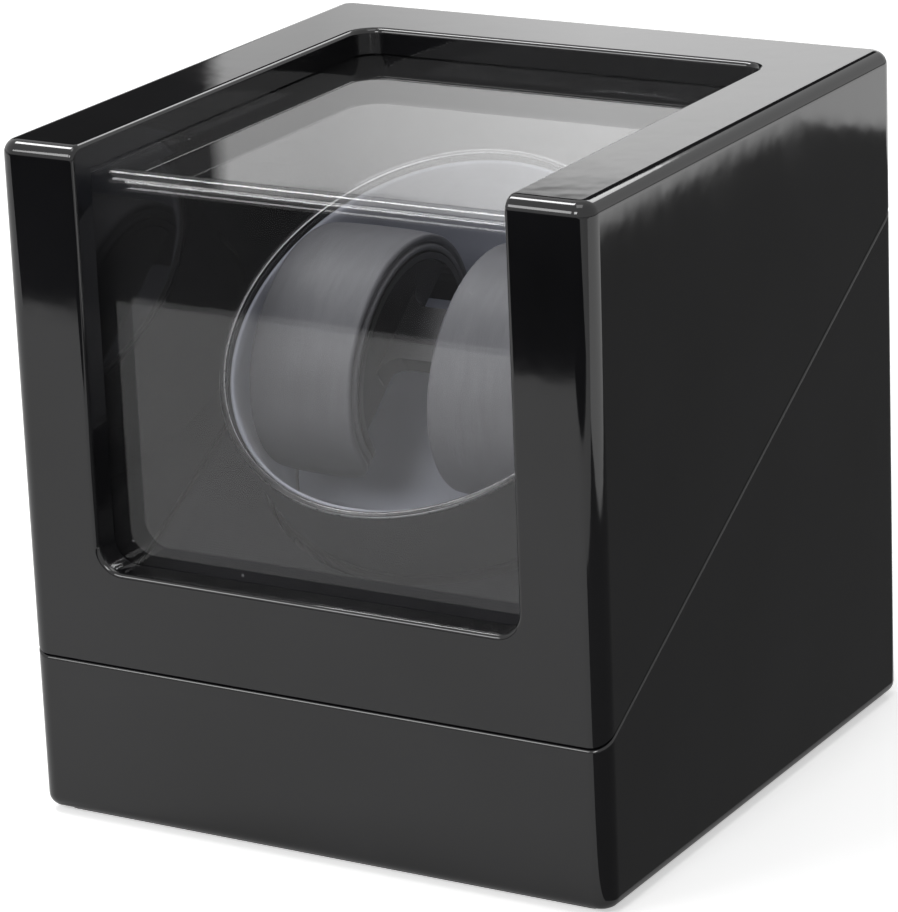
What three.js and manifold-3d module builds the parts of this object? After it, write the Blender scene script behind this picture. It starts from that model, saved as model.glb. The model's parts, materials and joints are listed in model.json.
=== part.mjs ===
// Watch winder box: a lacquered case in two halves that part along a sloping seam, a clear lid window bent
// over the front edge, and a tilted cup that a small geared motor turns with two watch cuffs in it.
// Millimetres, +Z up, front towards -Y. The origin is the middle of the felt sheet that the case stands on.
import * as THREE from 'three';
import { mergeVertices } from 'three/addons/utils/BufferGeometryUtils.js';
import Module from 'manifold-3d';

const wasm = await Module();
wasm.setup();

// ---- Driving dimensions -------------------------------------------------------------------------------
// Case
const caseWidth = 150;
const caseDepth = 150;
const caseHeight = 160;
const boardThickness = 13;
const bottomPanelThickness = 8;
const feltThickness = 0.8;
const feltInset = 4;
const cornerRadius = 4.5;
const edgeRounding = 3.2;
const seamFrontHeight = 38; // seam above the case bottom, at the front
const seamBackDrop = 37; // seam below the case top, at the back
const seamGap = 0.4;
const glueLine = 0.2; // between boards that are glued face to face
const fitGap = 0.3; // between pieces that seat in each other

// Lid window
const windowSideMargin = 20.5;
const windowRearMargin = 25;
const windowSillHeight = 61.2; // lower edge of the opening above the case bottom
const windowFrontRecess = 7.2;
const windowTopRecess = 6.5;
const windowSheet = 3;
const windowLap = 4.5; // how far the sheet runs behind the frame
const windowBendRadius = 5.5; // outside of the bend

// Deck, the sloping inner panel under the seam
const deckDrop = 1.5; // top of the deck cloth below the seam
const clothThickness = 1;
const deckThickness = 5;
const cleatSize = 8;

// Rotor, the turning cup
const rotorTilt = THREE.MathUtils.degToRad(38.5); // its mouth's slope from level
const rotorSideGap = 10; // to the side boards
const rotorFrontGap = 8.2; // to the front window
const rotorTopGap = 9.5; // to the top window
const rotorBackGap = 1.5; // to the back board
const rotorWall = 1.8;
const rotorFloor = 3;
const rotorDepth = 46;
const rotorRunningGap = 1.5; // round the cup in the deck's hole
const hubRadius = 7;
const hubLength = 12.2;
const floorPadThickness = 2.3;
const floorPadHole = 6; // round the screw in the middle
const cupScrewHead = 5;
const cupRounding = 2.5; // of the cup's lower edge
const liningDrop = 2; // top of the lining behind the rim
const rimBevel = 0.7;

// Watch cuffs and the bridge between them
const cuffHalfWidth = 30.5; // of the oval, along the cup's slope
const cuffHalfDepth = 26; // of the oval, along the cup's axis
const cuffCrown = 12; // how far the oval stands out of the cup's mouth
const cuffFoam = 4;
const springThickness = 1.5;
const cuffSpacing = 19.5; // clear width between the two cuffs
const cuffWallGap = 0.8; // from a cuff's corner to the cup's cloth
const cuffSlit = THREE.MathUtils.degToRad(128); // of the oval left open, under the cuff
const cuffCorner = 13; // rounding of the cuff's lower end, on its right
const cuffSmallCorner = 5; // and on its left
const bridgePlate = 3;
const bridgeHalfWidth = 7.4;
const bridgeFillet = 5;
const bridgeFront = 3; // the bridge's front face behind the cup's mouth
const bridgeBack = 8; // its back face
const plateBack = 10; // straight back edge of the end plates

// Gear train
const shaftRadius = 3;
const runningFit = 0.1;
const gearModule = 1;
const outputTeeth = 42;
const idlerPinionTeeth = 14;
const idlerWheelTeeth = 36;
const motorPinionTeeth = 12;
const backlash = 0.2;
const idlerDirection = THREE.MathUtils.degToRad(-30);
const motorDirection = THREE.MathUtils.degToRad(190);
const chassisThickness = 3;
const gearRoom = 16; // between the chassis and the rear plate
const rearPlateThickness = 2;
const gearFace = 5;
const axleRadius = 1.5;
const motorRadius = 12;
const motorLength = 18;
const motorShaftRadius = 1;
const motorBossRadius = 3.1;
const motorBossFit = 3.4; // hole for it in the rear plate
const motorScrewOffset = 8;
const motorScrewRadius = 0.9;
const motorScrewBore = 1.25;
const terminalOffset = 4;
const terminalLength = 3;
const plateCorners = [[-21, -31], [41, -31], [-21, 21], [41, 21]]; // screws round the gears
const bushRadius = 6;
const bushFlange = 1.5;
const bushFlangeWidth = 2;
const idlerWheelFace = 4;
const gearSideGap = 1.5; // between a gear and its neighbour along the shafts
const clipRadius = 5;
const clipThickness = 0.8;
const clipSlot = 1.6; // half width of the clip's open side
const screwHeadRadius = 2.8;
const screwHeadHeight = 1.8;
const pillarRadius = 4;
const pillarAngle = THREE.MathUtils.degToRad(43);
const screwRadius = 1.5;
const spacerRadius = 3;

// Control plate in the back board
const controlWidth = 74;
const controlHeight = 30;
const controlThickness = 2;
const controlCentreHeight = 29; // above the case bottom
const controlMargin = 6; // rim of board behind the plate's edge
const controlSpacing = 22; // from the knob to the jack and to the rocker
const circuitThickness = 1.6;
const circuitSetback = 18; // from the case's back face to the board's rear side

// Hinges
const hingeWidth = 96;
const knuckleCount = 7;
const hingeLeafHeight = 11;
const hingeLeafThickness = 1;
const knuckleRadius = 2.2;
const hingePinRadius = 1.1;
const leafGap = 0.4; // from the knuckles to the leaf's fixed part
const leafScrewInset = 12; // from the leaf's end
const leafScrewRadius = 0.9;
const leafScrewHead = 1.9;
const leafScrewHeadHeight = 0.7;
const leafScrewLength = 6; // in the board
const headGap = 0.05; // under a screw's head, or a flange's

// Switches and socket
const knobRadius = 6.5;
const knobLength = 6;
const knobFlutes = 16;
const fluteRadius = 0.7;
const knobStemRadius = 1.5;
const selectorBushRadius = 3.1;
const selectorHalfWidth = 6;
const jackRadius = 4.5;
const jackFlange = 6;
const jackSocketRadius = 2.75;
const jackSocketDepth = 9.5;
const jackPinRadius = 1;
const bezelProud = 1.2;
const bezelLap = 1; // of the rocker's bezel over its body
const rockerHalfWidth = 6.5;
const rockerHalfHeight = 9.5;
const rockerWall = 1.5;
const rockerPivotDepth = 5;
const rockerSideGap = 0.4;
const rockerTilt = THREE.MathUtils.degToRad(8);
const trunnionRadius = 0.8;
const trunnionLength = 0.9;
const controlScrewInset = 3; // from the plate's end
const controlScrewRadius = 0.95;
const controlScrewHead = 2;
const controlScrewBore = 1.3;
const circuitHalfWidth = 31;
const circuitHalfHeight = 12;
const connectorWidth = 10;
const connectorHeight = 5;
const connectorDepth = 4;
const connectorInset = 6; // from the circuit board's end
const leadHalfThickness = 0.8;
const leadHalfWidth = 1.6;

// Magnets
const magnetRadius = 3;
const magnetThickness = 2;

// ---- Values worked out from them -----------------------------------------------------------------------
const caseBottom = feltThickness + glueLine;
const caseTop = caseBottom + caseHeight;
const halfWidth = caseWidth / 2;
const halfDepth = caseDepth / 2;
const innerHalfWidth = halfWidth - boardThickness;
const innerHalfDepth = halfDepth - boardThickness;
const lidCeiling = caseTop - boardThickness;
const seamFrontZ = caseBottom + seamFrontHeight;
const seamBackZ = caseTop - seamBackDrop;
const seamSlope = Math.atan2(seamBackZ - seamFrontZ, caseDepth);

const windowHalfWidth = halfWidth - windowSideMargin;
const windowRearY = halfDepth - windowRearMargin;
const windowSillZ = caseBottom + windowSillHeight;
const windowFrontY = -halfDepth + windowFrontRecess;
const windowTopZ = caseTop - windowTopRecess;

const rotorFitSide = innerHalfWidth - rotorSideGap;
const rotorFrontY = windowFrontY + windowSheet + rotorFrontGap;
const rotorBackReach = innerHalfDepth - rotorBackGap - rotorDepth * Math.sin(rotorTilt);
const rotorFitDepth = (rotorBackReach - rotorFrontY) / (2 * Math.cos(rotorTilt));
const rotorRadius = Math.min(rotorFitSide, rotorFitDepth);
const rimY = rotorFrontY + rotorRadius * Math.cos(rotorTilt);
const rimZ = windowTopZ - windowSheet - rotorTopGap - rotorRadius * Math.sin(rotorTilt);
const clothRadius = rotorRadius - rotorWall - fitGap - clothThickness; // inside of the cup's cloth

const hubEnd = -rotorDepth - hubLength;
const chassisTop = hubEnd - fitGap - bushFlange;
const chassisUnder = chassisTop - chassisThickness;
const outputGearZ = chassisUnder - gearSideGap - gearFace;
const idlerWheelZ = outputGearZ - gearSideGap - idlerWheelFace;
const rearPlateTop = chassisUnder - gearRoom;
const rearPlateUnder = rearPlateTop - rearPlateThickness;
const idlerDistance = gearModule * (outputTeeth + idlerPinionTeeth) / 2;
const idlerX = idlerDistance * Math.cos(idlerDirection);
const idlerY = idlerDistance * Math.sin(idlerDirection);
const motorDistance = gearModule * (idlerWheelTeeth + motorPinionTeeth) / 2;
const motorX = idlerX + motorDistance * Math.cos(motorDirection);
const motorY = idlerY + motorDistance * Math.sin(motorDirection);
const pillarReach = rotorRadius + rotorRunningGap + pillarRadius + 4;
const pillarX = pillarReach * Math.cos(pillarAngle);
const pillarY = pillarReach * Math.sin(pillarAngle);
const pillars = [[-1, -1], [1, -1], [-1, 1], [1, 1]].map(([sx, sy]) => [sx * pillarX, sy * pillarY]);

const cuffCentre = cuffCrown - cuffHalfDepth;
const cuffReach = Math.sqrt(clothRadius ** 2 - cuffHalfWidth ** 2) - cuffWallGap;
const springInset = cuffFoam + fitGap;
const bridgeInset = springInset + springThickness + fitGap;

const controlZ = caseBottom + controlCentreHeight;
const controlFrontY = halfDepth - fitGap; // outside of the plate
const controlBackY = controlFrontY - controlThickness;
const circuitY = halfDepth - circuitSetback;
const bodyInner = circuitY + fitGap; // where the switch and jack bodies meet the circuit board
const bezelFrom = controlFrontY + headGap;
const rockerPivotY = bezelFrom - rockerPivotDepth;
const hingeAxisY = halfDepth + glueLine + knuckleRadius;
const hingeAxisZ = seamBackZ;

// ---- Materials -----------------------------------------------------------------------------------------
const finish = (color, roughness, metalness = 0, extra = {}) =>
  () => new THREE.MeshStandardMaterial({ color, roughness, metalness, ...extra });
const lacquer = finish(0x0b0b0d, 0.08);
const blackCloth = finish(0x17181b, 0.85);
const felt = finish(0x101010, 0.95);
const acrylic = finish(0xf4f6f8, 0.03, 0, { transparent: true, opacity: 0.3 });
const rotorPlastic = finish(0x141518, 0.22);
const satin = finish(0x6c7180, 0.55);
const leather = finish(0x3c3d42, 0.62);
const blackPlastic = finish(0x0e0f11, 0.45);
const steel = finish(0xb4b6ba, 0.3, 1);
const brass = finish(0xb89448, 0.35, 1);
const whitePlastic = finish(0xe6e4dc, 0.5);
const circuitGreen = finish(0x1d5a36, 0.5);
const copperRed = finish(0x8a2320, 0.5);

// ---- Geometry tools ------------------------------------------------------------------------------------
function solidOf(geometry) {
  const bare = new THREE.BufferGeometry();
  bare.setAttribute('position', geometry.getAttribute('position'));
  if (geometry.index) bare.setIndex(geometry.index);
  const merged = mergeVertices(bare, 1e-4);
  const kept = [];
  const index = merged.index.array;
  for (let i = 0; i < index.length; i += 3) {
    const [a, b, c] = [index[i], index[i + 1], index[i + 2]];
    if (a !== b && b !== c && c !== a) kept.push(a, b, c);
  }
  const vertProperties = new Float32Array(merged.getAttribute('position').array);
  return new wasm.Manifold(new wasm.Mesh({ numProp: 3, vertProperties, triVerts: new Uint32Array(kept) }));
}

function geometryOf(solid) {
  const mesh = solid.getMesh();
  const geometry = new THREE.BufferGeometry();
  geometry.setAttribute('position', new THREE.BufferAttribute(new Float32Array(mesh.vertProperties), 3));
  geometry.setIndex(new THREE.BufferAttribute(new Uint32Array(mesh.triVerts), 1));
  geometry.computeVertexNormals();
  return geometry;
}

const cut = (body, ...tools) =>
  geometryOf(tools.reduce((solid, tool) => solid.subtract(solidOf(tool)), solidOf(body)));
const join = (body, ...others) =>
  geometryOf(others.reduce((solid, other) => solid.add(solidOf(other)), solidOf(body)));
const common = (body, ...others) =>
  geometryOf(others.reduce((solid, other) => solid.intersect(solidOf(other)), solidOf(body)));

function box(x0, x1, y0, y1, z0, z1) {
  const geometry = new THREE.BoxGeometry(x1 - x0, y1 - y0, z1 - z0);
  return geometry.translate((x0 + x1) / 2, (y0 + y1) / 2, (z0 + z1) / 2);
}

// A round bar standing along Z.
function bar(radius, x, y, z0, z1, sides = 24) {
  const geometry = new THREE.CylinderGeometry(radius, radius, z1 - z0, sides);
  return geometry.rotateX(Math.PI / 2).translate(x, y, (z0 + z1) / 2);
}

// A round bar lying along Y, from y0 to y1.
function barAlongY(radius, x, z, y0, y1, sides = 24) {
  return new THREE.CylinderGeometry(radius, radius, y1 - y0, sides).translate(x, (y0 + y1) / 2, z);
}

// A round bar lying along X, from x0 to x1.
function barAlongX(radius, y, z, x0, x1, sides = 20) {
  const geometry = new THREE.CylinderGeometry(radius, radius, x1 - x0, sides);
  return geometry.rotateZ(Math.PI / 2).translate((x0 + x1) / 2, y, z);
}

function tubeBar(outer, inner, x, y, z0, z1, sides = 24) {
  return cut(bar(outer, x, y, z0, z1, sides), bar(inner, x, y, z0 - 1, z1 + 1, sides));
}

// A shape drawn in (Y, Z) and pulled out along X from x0 to x1.
function pullAlongX(shape, x0, x1, curveSegments = 8) {
  const geometry = new THREE.ExtrudeGeometry(shape, { depth: x1 - x0, bevelEnabled: false, curveSegments });
  const turn = new THREE.Matrix4().set(0, 0, 1, x0, 1, 0, 0, 0, 0, 1, 0, 0, 0, 0, 0, 1);
  return geometry.applyMatrix4(turn);
}

function revolve(points, sides = 56) {
  const profile = points.map(([r, z]) => new THREE.Vector2(r, z));
  return new THREE.LatheGeometry(profile, sides).rotateX(Math.PI / 2);
}

function screw(x, y, headFrom, headTo, tip, radius = screwRadius, headRadius = screwHeadRadius) {
  const shankFrom = Math.min(tip, headTo);
  const shankTo = Math.max(tip, headFrom);
  return join(bar(headRadius, x, y, headFrom, headTo, 16), bar(radius, x, y, shankFrom, shankTo, 12));
}

// ---- Frames --------------------------------------------------------------------------------------------
const rotorFrame = new THREE.Matrix4().makeTranslation(0, rimY, rimZ)
  .multiply(new THREE.Matrix4().makeRotationX(rotorTilt));
const seamFrame = new THREE.Matrix4().makeTranslation(0, -halfDepth, seamFrontZ)
  .multiply(new THREE.Matrix4().makeRotationX(seamSlope));
const seamInRotor = rotorFrame.clone().invert().multiply(seamFrame);

const farReach = 400;
const slabUnderSeam = (top, bottom = -farReach) =>
  box(-farReach, farReach, -farReach, farReach, bottom, top).applyMatrix4(seamFrame);
const overSeam = () =>
  box(-farReach, farReach, -farReach, farReach, seamGap / 2, farReach).applyMatrix4(seamFrame);

// Where a line along the cup's axis, at height y up the cup's slope, meets a plane under the seam.
function axisHitsPlane(y, planeDepth) {
  const normal = new THREE.Vector3(0, 0, 1).transformDirection(seamInRotor);
  const onPlane = new THREE.Vector3(0, 0, -planeDepth).applyMatrix4(seamInRotor);
  return onPlane.z - normal.y * (y - onPlane.y) / normal.z;
}

const deckTop = deckDrop + clothThickness + fitGap;
const deckUnder = deckTop + deckThickness;

// ---- Case ----------------------------------------------------------------------------------------------
function caseBlock() {
  const w = halfWidth - edgeRounding;
  const d = halfDepth - edgeRounding;
  const r = cornerRadius - edgeRounding;
  const outline = new THREE.Shape();
  outline.moveTo(-w + r, -d);
  outline.lineTo(w - r, -d);
  outline.absarc(w - r, -d + r, r, -Math.PI / 2, 0);
  outline.lineTo(w, d - r);
  outline.absarc(w - r, d - r, r, 0, Math.PI / 2);
  outline.lineTo(-w + r, d);
  outline.absarc(-w + r, d - r, r, Math.PI / 2, Math.PI);
  outline.lineTo(-w, -d + r);
  outline.absarc(-w + r, -d + r, r, Math.PI, Math.PI * 1.5);
  const geometry = new THREE.ExtrudeGeometry(outline, {
    depth: caseHeight - 2 * edgeRounding,
    bevelThickness: edgeRounding,
    bevelSize: edgeRounding,
    bevelSegments: 3,
    curveSegments: 3,
  });
  return geometry.translate(0, 0, caseBottom + edgeRounding);
}

const block = caseBlock();
const baseBlock = common(block, slabUnderSeam(-seamGap / 2));
const lidBlock = common(block, overSeam());
const gluedHalfWidth = innerHalfWidth - glueLine;
const everyDepth = [-halfDepth - 1, halfDepth + 1];
const everyHeight = [caseBottom - 1, caseTop + 1];
const outerLeft = [-halfWidth - 1, -innerHalfWidth];
const outerRight = [innerHalfWidth, halfWidth + 1];
const betweenSides = [-gluedHalfWidth, gluedHalfWidth];
const frontSlab = [-halfDepth - 1, -innerHalfDepth];
const backSlab = [innerHalfDepth, halfDepth + 1];

const magnetPlace = boardThickness / 2 / Math.cos(seamSlope);
const magnetPocket = (from, to) =>
  bar(magnetRadius + fitGap, 0, magnetPlace, from, to, 20).applyMatrix4(seamFrame);
const magnet = (from) =>
  bar(magnetRadius, 0, magnetPlace, from, from + magnetThickness, 20).applyMatrix4(seamFrame);
const magnetDepth = magnetThickness + 2 * fitGap + seamGap / 2;

function baseFrontBoard() {
  const board = common(baseBlock, box(...betweenSides, ...frontSlab, ...everyHeight));
  return cut(board, magnetPocket(-magnetDepth, 1));
}

function baseBackBoard() {
  const board = common(baseBlock, box(...betweenSides, ...backSlab, ...everyHeight));
  const w = controlWidth / 2 + fitGap;
  const h = controlHeight / 2 + fitGap;
  const recess = box(-w, w, controlBackY - fitGap, halfDepth + 1, controlZ - h, controlZ + h);
  const through = box(-w + controlMargin, w - controlMargin, innerHalfDepth - 1, halfDepth + 1,
    controlZ - h + controlMargin - 1.5, controlZ + h - controlMargin + 1.5);
  return cut(board, recess, through);
}

function bottomPanel() {
  const w = gluedHalfWidth;
  const d = innerHalfDepth - glueLine;
  return box(-w, w, -d, d, caseBottom, caseBottom + bottomPanelThickness);
}

function bottomFelt() {
  const w = halfWidth - feltInset;
  const d = halfDepth - feltInset;
  return box(-w, w, -d, d, 0, feltThickness);
}

// The room inside the base and lid, a fit gap clear of the boards.
const insideBoards = () => {
  const w = innerHalfWidth - fitGap;
  const d = innerHalfDepth - fitGap;
  return box(-w, w, -d, d, caseBottom + bottomPanelThickness + fitGap, lidCeiling - fitGap);
};
const holeRound = (radius, sides = 48) =>
  bar(radius, 0, 0, -farReach, farReach, sides).applyMatrix4(rotorFrame);

function deck() {
  const panel = common(slabUnderSeam(-deckTop, -deckUnder), insideBoards());
  const pilots = pillars.map(([x, y]) => {
    const underside = axisHitsPlane(y, deckUnder);
    return bar(screwRadius + fitGap, x, y, underside - 2, underside + 4, 12).applyMatrix4(rotorFrame);
  });
  return cut(panel, holeRound(rotorRadius + rotorRunningGap), ...pilots);
}

function deckCloth() {
  const sheet = common(slabUnderSeam(-deckDrop, -deckDrop - clothThickness), insideBoards());
  return cut(sheet, holeRound(rotorRadius + rotorRunningGap));
}

function deckCleats() {
  const top = -deckUnder - fitGap;
  const w = innerHalfWidth - fitGap;
  const strip = (x0, x1, y1) => box(x0, x1, -farReach, y1, top - cleatSize, top).applyMatrix4(seamFrame);
  const frontStrip = (boardThickness + fitGap) / Math.cos(seamSlope) + cleatSize;
  const strips = join(strip(-w, -w + cleatSize, farReach), strip(w - cleatSize, w, farReach),
    strip(-w, w, frontStrip));
  return common(strips, insideBoards());
}

function addCase(model) {
  add(model, 'base_left_side', common(baseBlock, box(...outerLeft, ...everyDepth, ...everyHeight)), lacquer);
  add(model, 'base_right_side', common(baseBlock, box(...outerRight, ...everyDepth, ...everyHeight)), lacquer);
  add(model, 'base_front_board', baseFrontBoard(), lacquer);
  add(model, 'base_back_board', baseBackBoard(), lacquer);
  add(model, 'bottom_panel', bottomPanel(), lacquer);
  add(model, 'bottom_felt', bottomFelt(), felt);
  add(model, 'deck_panel', deck(), lacquer);
  add(model, 'deck_cloth', deckCloth(), blackCloth);
  add(model, 'deck_cleats', deckCleats(), lacquer);
  add(model, 'base_magnet', magnet(-seamGap / 2 - fitGap - magnetThickness), steel);
}

// ---- Lid -----------------------------------------------------------------------------------------------
// An L of sheet with a round bend.
function windowSheetShape() {
  const front = windowFrontY;
  const top = windowTopZ;
  const back = windowFrontY + windowSheet;
  const under = windowTopZ - windowSheet;
  const low = windowSillZ - windowLap + fitGap;
  const rear = windowRearY + windowLap - fitGap;
  const outerBend = windowBendRadius;
  const innerBend = windowBendRadius - windowSheet;
  const shape = new THREE.Shape();
  shape.moveTo(front, low);
  shape.lineTo(back, low);
  shape.lineTo(back, under - innerBend);
  shape.absarc(back + innerBend, under - innerBend, innerBend, Math.PI, Math.PI / 2, true);
  shape.lineTo(rear, under);
  shape.lineTo(rear, top);
  shape.lineTo(front + outerBend, top);
  shape.absarc(front + outerBend, top - outerBend, outerBend, Math.PI / 2, Math.PI);
  return shape;
}

// What is taken out of the frame: the opening, and the rebate behind it that the sheet lies in.
function windowCuts() {
  const w = windowHalfWidth;
  const lap = w + windowLap;
  const frontOpening = box(-w, w, -halfDepth - 1, -innerHalfDepth + 1, windowSillZ, caseTop + 1);
  const topOpening = box(-w, w, -halfDepth - 1, windowRearY, lidCeiling - 1, caseTop + 1);
  const frontRebate = box(-lap, lap, windowFrontY - fitGap, -innerHalfDepth + 1,
    windowSillZ - windowLap, windowTopZ + fitGap);
  const topRebate = box(-lap, lap, windowFrontY - fitGap, windowRearY + windowLap,
    lidCeiling - 1, windowTopZ + fitGap);
  return [frontOpening, topOpening, frontRebate, topRebate];
}

function addLid(model) {
  const frame = cut(lidBlock, ...windowCuts());
  const belowTop = lidCeiling - glueLine;
  const frontFrame = common(frame, box(...betweenSides, ...frontSlab, caseBottom, belowTop));
  const sheetHalf = windowHalfWidth + windowLap - fitGap;
  add(model, 'lid_left_side', common(lidBlock, box(...outerLeft, ...everyDepth, ...everyHeight)), lacquer);
  add(model, 'lid_right_side', common(lidBlock, box(...outerRight, ...everyDepth, ...everyHeight)), lacquer);
  add(model, 'lid_front_frame', cut(frontFrame, magnetPocket(-1, magnetDepth)), lacquer);
  add(model, 'lid_top_frame',
    common(frame, box(...betweenSides, ...everyDepth, lidCeiling, caseTop + 1)), lacquer);
  add(model, 'lid_back_board',
    common(lidBlock, box(...betweenSides, ...backSlab, caseBottom, belowTop)), lacquer);
  add(model, 'lid_window', pullAlongX(windowSheetShape(), -sheetHalf, sheetHalf, 6), acrylic);
  add(model, 'lid_magnet', magnet(seamGap / 2 + fitGap), steel);
}

// ---- Hinges --------------------------------------------------------------------------------------------
const leafStart = knuckleRadius + leafGap;
const leafFrontY = halfDepth + glueLine;
const leafBackY = leafFrontY + hingeLeafThickness;
const leafScrewX = hingeWidth / 2 - leafScrewInset;
const leafScrewRise = leafStart + hingeLeafHeight / 2;
const hingeEnd = hingeWidth / 2;
const knuckleLength = hingeWidth / knuckleCount;

// A leaf reaches up (+1) or down (-1) from the pin, and carries every other knuckle.
function hingeLeaf(reach) {
  const near = hingeAxisZ + reach * leafStart;
  const far = hingeAxisZ + reach * (leafStart + hingeLeafHeight);
  const plate = box(-hingeEnd, hingeEnd, leafFrontY, leafBackY, Math.min(near, far), Math.max(near, far));
  const knuckles = [];
  for (let i = reach > 0 ? 1 : 0; i < knuckleCount; i += 2) {
    const x0 = -hingeEnd + i * knuckleLength + (i > 0 ? fitGap : 0);
    const x1 = -hingeEnd + (i + 1) * knuckleLength;
    const root = near + reach;
    knuckles.push(barAlongX(knuckleRadius, hingeAxisY, hingeAxisZ, x0, x1));
    knuckles.push(box(x0, x1, leafFrontY, leafBackY, Math.min(hingeAxisZ, root), Math.max(hingeAxisZ, root)));
  }
  const pinHole = barAlongX(hingePinRadius + runningFit, hingeAxisY, hingeAxisZ, -hingeEnd - 1, hingeEnd + 1);
  const screwHoles = [-leafScrewX, leafScrewX].map((x) =>
    barAlongY(leafScrewRadius + fitGap, x, hingeAxisZ + reach * leafScrewRise, leafFrontY - 1,
      leafBackY + 1, 12));
  return cut(join(plate, ...knuckles), pinHole, ...screwHoles);
}

function hingeScrew(side, reach) {
  const place = [side * leafScrewX, hingeAxisZ + reach * leafScrewRise];
  const underHead = leafBackY + headGap;
  return join(barAlongY(leafScrewHead, ...place, underHead, underHead + leafScrewHeadHeight, 12),
    barAlongY(leafScrewRadius, ...place, leafFrontY - leafScrewLength, underHead + 0.35, 10));
}

const screwBores = (reach) => [-1, 1].map((side) => barAlongY(leafScrewRadius + 0.2, side * leafScrewX,
  hingeAxisZ + reach * leafScrewRise, leafFrontY - leafScrewLength - 0.5, halfDepth + 1, 10));

function addHinge(model) {
  add(model, 'hinge_lower_leaf', hingeLeaf(-1), brass);
  add(model, 'hinge_upper_leaf', hingeLeaf(1), brass);
  add(model, 'hinge_pin', barAlongX(hingePinRadius, hingeAxisY, hingeAxisZ, -hingeEnd, hingeEnd), steel);
  for (const [name, side] of [['left', -1], ['right', 1]]) {
    add(model, `hinge_lower_screw_${name}`, hingeScrew(side, -1), brass);
    add(model, `hinge_upper_screw_${name}`, hingeScrew(side, 1), brass);
  }
}

// ---- Rotor ---------------------------------------------------------------------------------------------
function rotorCup() {
  const r = rotorRadius;
  const bore = shaftRadius + runningFit;
  const floor = -rotorDepth + rotorFloor;
  return revolve([[bore, hubEnd], [hubRadius, hubEnd], [hubRadius, -rotorDepth],
    [r - cupRounding, -rotorDepth], [r, -rotorDepth + cupRounding], [r, -rimBevel], [r - rotorWall / 2, 0],
    [r - rotorWall, -rimBevel], [r - rotorWall, floor],
    [bore, floor], [bore, hubEnd]]);
}

function cupLining() {
  const outer = rotorRadius - rotorWall - fitGap;
  const low = -rotorDepth + rotorFloor + fitGap;
  return revolve([[clothRadius, low], [outer, low], [outer, -liningDrop], [clothRadius, -liningDrop],
    [clothRadius, low]]);
}

function floorPad() {
  const low = -rotorDepth + rotorFloor + fitGap;
  const high = low + floorPadThickness;
  const r = clothRadius - fitGap;
  const hole = floorPadHole;
  return revolve([[hole, low], [r, low], [r, high - 0.6], [r - 0.8, high], [hole + 0.6, high],
    [hole, high - 0.6], [hole, low]], 40);
}

function outputShaft() {
  const top = -rotorDepth + rotorFloor - 1;
  const bar6 = bar(shaftRadius, 0, 0, rearPlateUnder - 2.6, top, 32);
  return cut(bar6, bar(screwRadius + fitGap, 0, 0, top - 10, top + 1, 16));
}

// A spur gear with involute flanks and stub teeth, one tooth centred on the given direction.
function gear(teeth, face, z, bore, direction) {
  const pitch = gearModule * teeth / 2;
  const base = pitch * Math.cos(Math.PI / 9);
  const tip = pitch + 0.8 * gearModule;
  const root = pitch - 1.15 * gearModule;
  const involute = (r) => {
    const roll = Math.sqrt(Math.max((r / base) ** 2 - 1, 0));
    return roll - Math.atan(roll);
  };
  const halfAtPitch = Math.PI / (2 * teeth) - backlash / (2 * pitch);
  const halfAt = (r) => halfAtPitch + involute(pitch) - involute(r);
  const flank = [Math.max(base, root), pitch, tip];
  const points = [];
  for (let tooth = 0; tooth < teeth; tooth += 1) {
    const middle = direction + tooth * 2 * Math.PI / teeth;
    const side = (r, sign) => [r * Math.cos(middle + sign * halfAt(r)), r * Math.sin(middle + sign * halfAt(r))];
    const foot = (sign) => {
      const angle = middle + sign * halfAt(flank[0]);
      return [root * Math.cos(angle), root * Math.sin(angle)];
    };
    if (flank[0] > root + 0.05) points.push(foot(-1));
    points.push(side(flank[0], -1), side(flank[1], -1), side(flank[2], -1));
    points.push(side(flank[2], 1), side(flank[1], 1), side(flank[0], 1));
    if (flank[0] > root + 0.05) points.push(foot(1));
  }
  const shape = new THREE.Shape(points.map(([x, y]) => new THREE.Vector2(x, y)));
  const hole = new THREE.Path();
  hole.absarc(0, 0, bore, 0, 2 * Math.PI);
  shape.holes.push(hole);
  const geometry = new THREE.ExtrudeGeometry(shape, { depth: face, bevelEnabled: false, curveSegments: 12 });
  return geometry.translate(0, 0, z);
}

function addRotor(group) {
  add(group, 'rotor_cup', rotorCup(), rotorPlastic);
  add(group, 'cup_lining', cupLining(), satin);
  add(group, 'cup_floor_pad', floorPad(), satin);
  const floor = -rotorDepth + rotorFloor;
  add(group, 'cup_screw',
    screw(0, 0, floor + fitGap, floor + screwHeadHeight, floor - 8, screwRadius, cupScrewHead), steel);
  add(group, 'output_shaft', outputShaft(), steel);
  add(group, 'output_gear',
    gear(outputTeeth, gearFace, outputGearZ, shaftRadius + runningFit, idlerDirection), whitePlastic);
}

// ---- Watch cuffs ---------------------------------------------------------------------------------------
// A C of even thickness, an inset inside the cuffs' oval, slit underneath.
function cuffBand(inset, thickness, slit) {
  const outline = [];
  const steps = 30;
  const around = (shrink, i) => {
    const angle = -Math.PI / 2 + slit / 2 + (2 * Math.PI - slit) * i / steps;
    return new THREE.Vector2((cuffHalfWidth - shrink) * Math.cos(angle),
      cuffCentre + (cuffHalfDepth - shrink) * Math.sin(angle));
  };
  for (let i = 0; i <= steps; i += 1) outline.push(around(inset, i));
  for (let i = steps; i >= 0; i -= 1) outline.push(around(inset + thickness, i));
  return new THREE.Shape(outline);
}

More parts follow.
